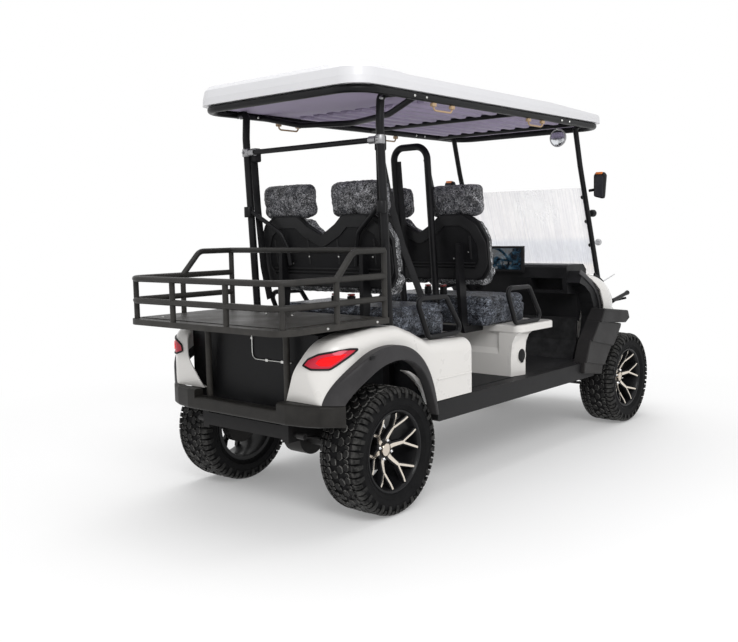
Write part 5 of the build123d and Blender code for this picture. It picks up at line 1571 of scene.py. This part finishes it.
def build_side_mirrors():
    bm = bmesh.new()
    low, high = corners_of("side_mirrors")
    rear, front, middle = low.x - REAR_X, high.x - REAR_X, (low.z + high.z) / 2

    def outline(points, corner):
        return rounded([(side * (high.y - a), b + (low.z if b > 0 else high.z)) for a, b in points], corner)

    for side in SIDES:
        prism(bm, outline(MIRROR_SHELL, 0.016), rear + 0.003, front - 0.001, "X", 0.011, 4)
        prism(bm, outline(MIRROR_GLASS, 0.012), rear + 0.0012, rear + 0.006, "X", 0.0012, material=1)
        prism(bm, outline(REPEATER, 0.004), rear + 0.0005, rear + 0.022, "X", 0.0015, material=2)
        outer = (front - 0.012, side * (high.y - ARM_OUTER), middle - 0.02)
        sweep(bm, [outer, (front - 0.008, side * ARM_INNER, middle - 0.025)], circle(0.009, 12))
    finish_piece("door_mirrors", bm, [black_plastic, painted_reflection_glass, repeater_amber],
                 stands_for=["side_mirrors"])


build_side_mirrors()
print("door mirrors made")

# %% [markdown]
# ## Cabin mirror
# A round convex mirror hangs under the front cross tube on a short stem, to the right of the middle.

# %% Cabin mirror piece
CABIN_MIRROR = Vector((1.925, -0.352, 1.822))
MIRROR_CASE = [(-0.0085, 0.046), (-0.010, 0.052), (-0.006, 0.056), (0.010, 0.050), (0.020, 0.030),
               (0.022, 0.008)]
CONVEX_GLASS = [(-0.0120, 0.006), (-0.0112, 0.028), (-0.0095, 0.044), (-0.0075, 0.050)]
MIRROR_STEM = [(0.018, 0, 0), (0.012, 0, 0.045), (-0.030, 0, 0.058)]


def build_cabin_mirror():
    bm = bmesh.new()
    turned(bm, MIRROR_CASE, CABIN_MIRROR, "X", 36)
    turned(bm, CONVEX_GLASS, CABIN_MIRROR, "X", 36, material=1)
    steel_tube(bm, [CABIN_MIRROR + Vector(p) for p in MIRROR_STEM], 0.006, 0.02, Y, sides=10)
    finish_piece("cabin_mirror", bm, [pale_plastic, mirror_glass], smooth=50)


build_cabin_mirror()
print("cabin mirror made")

# %% [markdown]
# ## Canopy underside
# The roof is two moulded skins. The lower one is a dull violet grey with long ribs that stiffen it
# and carry the cables, and it hangs just inside the ring tube.

# %% Roof lining
LINING_Z = 1.905
LINING_X = (-0.095, 2.105)
LINING_HALF_W = 0.498
RIBS = 9
RIB_PITCH = 0.10
RIB_SPANS = ((0.47, 1.12), (1.24, 1.80))
RIB = [(-0.032, -0.003), (-0.018, -0.020), (0.018, -0.020), (0.032, -0.003)]


def build_lining():
    bm = bmesh.new()
    rear, front = LINING_X
    corners = [(rear, -LINING_HALF_W), (front, -LINING_HALF_W), (front, LINING_HALF_W), (rear, LINING_HALF_W)]
    prism(bm, rounded(corners, 0.09), LINING_Z - 0.004, LINING_Z + 0.001, "Z", 0.0015)
    for number in range(RIBS):
        middle = (number - (RIBS - 1) / 2) * RIB_PITCH
        rib = rounded([(middle + y, LINING_Z + z) for y, z in RIB], 0.008, 3)
        for start, end in RIB_SPANS:
            prism(bm, rib, start, end, "X", 0.004)
    finish_piece("roof_lining", bm, canopy_lining, smooth=50)


build_lining()
print("lining ribs:", RIBS)

# %% [markdown]
# ## Clamps, bolts and handle fixings
# The ring is clamped to the posts, and the canopy is held down by small bright bolts through the
# ring. The tan loops are screwed to the ring by two small feet each.

# %% Roof fixings
RING_Z = 1.888
RING_Y = 0.523
RING_TUBE_R = 0.0185
ROOF_BOLTS_X = (0.24, 0.33, 1.62, 1.71)
HANDLES_X = (0.480, 1.350)
HANDLE_REACH = 0.075
CLAMP_Z = 1.688


def build_roof_bolts():
    bm = bmesh.new()
    for side in SIDES:
        for x in ROOF_BOLTS_X:
            for way in (1, -1):
                place = (x, side * (RING_Y + way * RING_TUBE_R), RING_Z - 0.003)
                bright_bolt(bm, place, (0, way * side, -0.15), 0.0055, 0.003)
    finish_piece("roof_bolts", bm, zinc)


def build_handle_feet():
    bm = bmesh.new()
    for handle_x in HANDLES_X:
        for side in SIDES:
            for x in (handle_x - HANDLE_REACH, handle_x + HANDLE_REACH):
                y = side * RING_Y
                block(bm, (x - 0.015, y - 0.010, 1.852), (x + 0.015, y + 0.010, 1.8695), 0.004)
    finish_piece("handle_feet", bm, handle_tan)


def build_post_clamps():
    bm = bmesh.new()
    for side in SIDES:
        post = Vector((POST_X, side * POST_Y, CLAMP_Z))
        collar = [post + Z * up for up in (-0.020, -0.017, 0.017, 0.020)]
        sweep(bm, collar, circle(0.0228, 20), up=Y, scale=[0.9, 1, 1, 0.9])
        sweep(bm, [post - Y * side * 0.022, post - Y * side * 0.062], circle(0.0175, 16))
        bright_bolt(bm, post - X * 0.0225, -X, 0.007, 0.008)
        bright_bolt(bm, (0.085, side * 0.47, 1.868), -X, 0.008, 0.008)
    finish_piece("post_clamps", bm, cast_alloy)


build_roof_bolts()
build_handle_feet()
build_post_clamps()
print("roof fixings made")

# %% [markdown]
# ## CAD parts that only need a finish
# Running gear and frame parts already have the right shape, so they keep their CAD mesh and get a
# finish of the real material.

# %% Dress the CAD nodes
DRESSED = [
    (canopy_paint, "canopy"),
    (handle_tan, "grab_handles"),
    (tube_coat, "roof_frame rear_posts windshield_pillars hip_restraints seat_frames"),
    (filmed_pane, "windshield"),
    (black_plastic, "side_mirrors rear_seat_base side_sills pedals display steering_column steering_wheel"),
    (body_paint, "front_cowl rear_quarter_panels front_seat_box"),
    (well_plastic, "rear_well_panel"),
    (flare_plastic, "arch_flares"),
    (bumper_plastic, "bumpers"),
    (mat_rubber, "floor_pan"),
    (dash_plastic, "dashboard"),
    (shell_plastic, "seat_shells"),
    (basket_coat, "basket_frame basket_floor"),
    (lens_deep, "tail_lamps"),
    (lens_clear, "headlamps"),
    (chassis_coat, "chassis_frame front_axle"),
    (battery_case, "battery_pack"),
    (cast_iron, "rear_axle knuckle_left knuckle_right"),
    (cast_alloy, "drive_motor"),
    (spring_steel, "leaf_springs tie_rod"),
]
dressed = set()
for material, names in DRESSED:
    for node in names.split():
        nodes[node].data.materials.clear()
        nodes[node].data.materials.append(material)
        dressed.add(node)
print("nodes that keep their CAD mesh:", len(dressed), "of", len(nodes))

# %% [markdown]
# ## Floor, light and camera
# The cart stands on a plain pale floor that meets a pale backdrop without a line. Two large soft
# lamps and an even sky light it at a plain level, as in a product studio.

# %% Floor
FLOOR_HALF = 60.0
FLOOR_Z = -0.0005
SKY_LIGHT = 0.62             # the sky's strength on the cart; what is seen of it is full white


def seen_directly(tree, camera_rays=1.0):
    """How far a ray sees the backdrop itself: by mirrors and lenses fully, by the camera as given."""
    path = tree.nodes.new("ShaderNodeLightPath").outputs
    through = math_node(tree, "MAXIMUM", path["Is Glossy Ray"], path["Is Transmission Ray"])
    camera = math_node(tree, "MULTIPLY", path["Is Camera Ray"], camera_rays)
    return math_node(tree, "MAXIMUM", through, camera)


def build_floor_finish():
    material, tree, shader = finish("studio_floor", (0.9, 0.9, 0.9), 0.9, specular_ior_level=0.0)
    place = tree.nodes.new("ShaderNodeNewGeometry").outputs["Position"]
    squeezed = vector_node(tree, "MULTIPLY", place, (0.3, 0.28, 1.0))
    reach = add_node(tree, "ShaderNodeVectorMath", {0: squeezed}, operation="LENGTH").outputs["Value"]
    # Near the cart the camera sees 22 parts in 100 of plain white glow, painted light that lightens the
    # cart's cast shadow; far off it sees only the white backdrop.
    fade = ranged(tree, reach, 0.62, 1.1, 0.22, 1.0, interpolation_type="SMOOTHSTEP")
    white = add_node(tree, "ShaderNodeEmission", {"Color": (1, 1, 1, 1), "Strength": 1.0}).outputs[0]
    parts = {0: seen_directly(tree, fade), 1: shader.outputs[0], 2: white}
    blend = add_node(tree, "ShaderNodeMixShader", parts)
    tree.links.new(blend.outputs[0], tree.nodes["Material Output"].inputs["Surface"])
    return material


def build_floor():
    bm = bmesh.new()
    corners = ((-1, -1), (1, -1), (1, 1), (-1, 1))
    bm.faces.new([bm.verts.new((FLOOR_HALF * x, FLOOR_HALF * y, FLOOR_Z)) for x, y in corners])
    floor = linked("studio_floor", mesh_from("studio_floor", bm))
    floor.data.materials.append(build_floor_finish())


build_floor()
print("floor laid")

# %% World and lamps
def build_world():
    world = bpy.data.worlds.new("studio")
    bpy.context.scene.world = world
    world.use_nodes = True
    tree = world.node_tree
    back = tree.nodes["Background"]
    back.inputs["Color"].default_value = (1, 1, 1, 1)
    strength = ranged(tree, seen_directly(tree), 0.0, 1.0, SKY_LIGHT, 1.0)
    tree.links.new(strength, back.inputs["Strength"])


def add_lamp(name, place, aim, size, power):
    data = bpy.data.lights.new(name, "AREA")
    data.shape = "RECTANGLE"
    data.size, data.size_y = size
    data.energy = power
    lamp = linked(name, data)
    lamp.location = place
    lamp.rotation_euler = (Vector(aim) - Vector(place)).to_track_quat("-Z", "Y").to_euler()


build_world()
add_lamp("key", (-5.5, -6.5, 6.5), (0, 0, 0.8), (5, 4), 420)
add_lamp("overhead", (0.5, 1.0, 7.5), (0, 0, 0), (6, 5), 260)
print("lamps set")

# %% [markdown]
# ### Camera
# The camera stands behind the cart's right rear corner, at about the height of a standing person's
# chest. Its place, turn and lens were solved from the wheels and the frame's straight edges.

# %% Camera
EYE = Vector((REAR_X - 3.0245, -3.035, 1.2803))
YAW, PITCH_DOWN, ROLL = radians(40.55), radians(5.85), radians(-1.03)
SENSOR_MM, LENS_MM = 36, 43.19


def build_camera():
    ahead = Vector((cos(YAW) * cos(PITCH_DOWN), sin(YAW) * cos(PITCH_DOWN), -sin(PITCH_DOWN)))
    level_right = Vector((sin(YAW), -cos(YAW), 0))
    level_up = level_right.cross(ahead)
    right = level_right * cos(ROLL) + level_up * sin(ROLL)
    up = level_up * cos(ROLL) - level_right * sin(ROLL)
    data = bpy.data.cameras.new("camera")
    data.sensor_fit = "HORIZONTAL"
    data.sensor_width = SENSOR_MM
    data.lens = LENS_MM
    camera = linked("camera", data)
    camera.matrix_world = Matrix.Translation(EYE) @ Matrix((right, up, -ahead)).transposed().to_4x4()
    bpy.context.scene.camera = camera


build_camera()
bpy.context.scene.view_settings.view_transform = "Standard"
print("camera lens", LENS_MM, "mm")
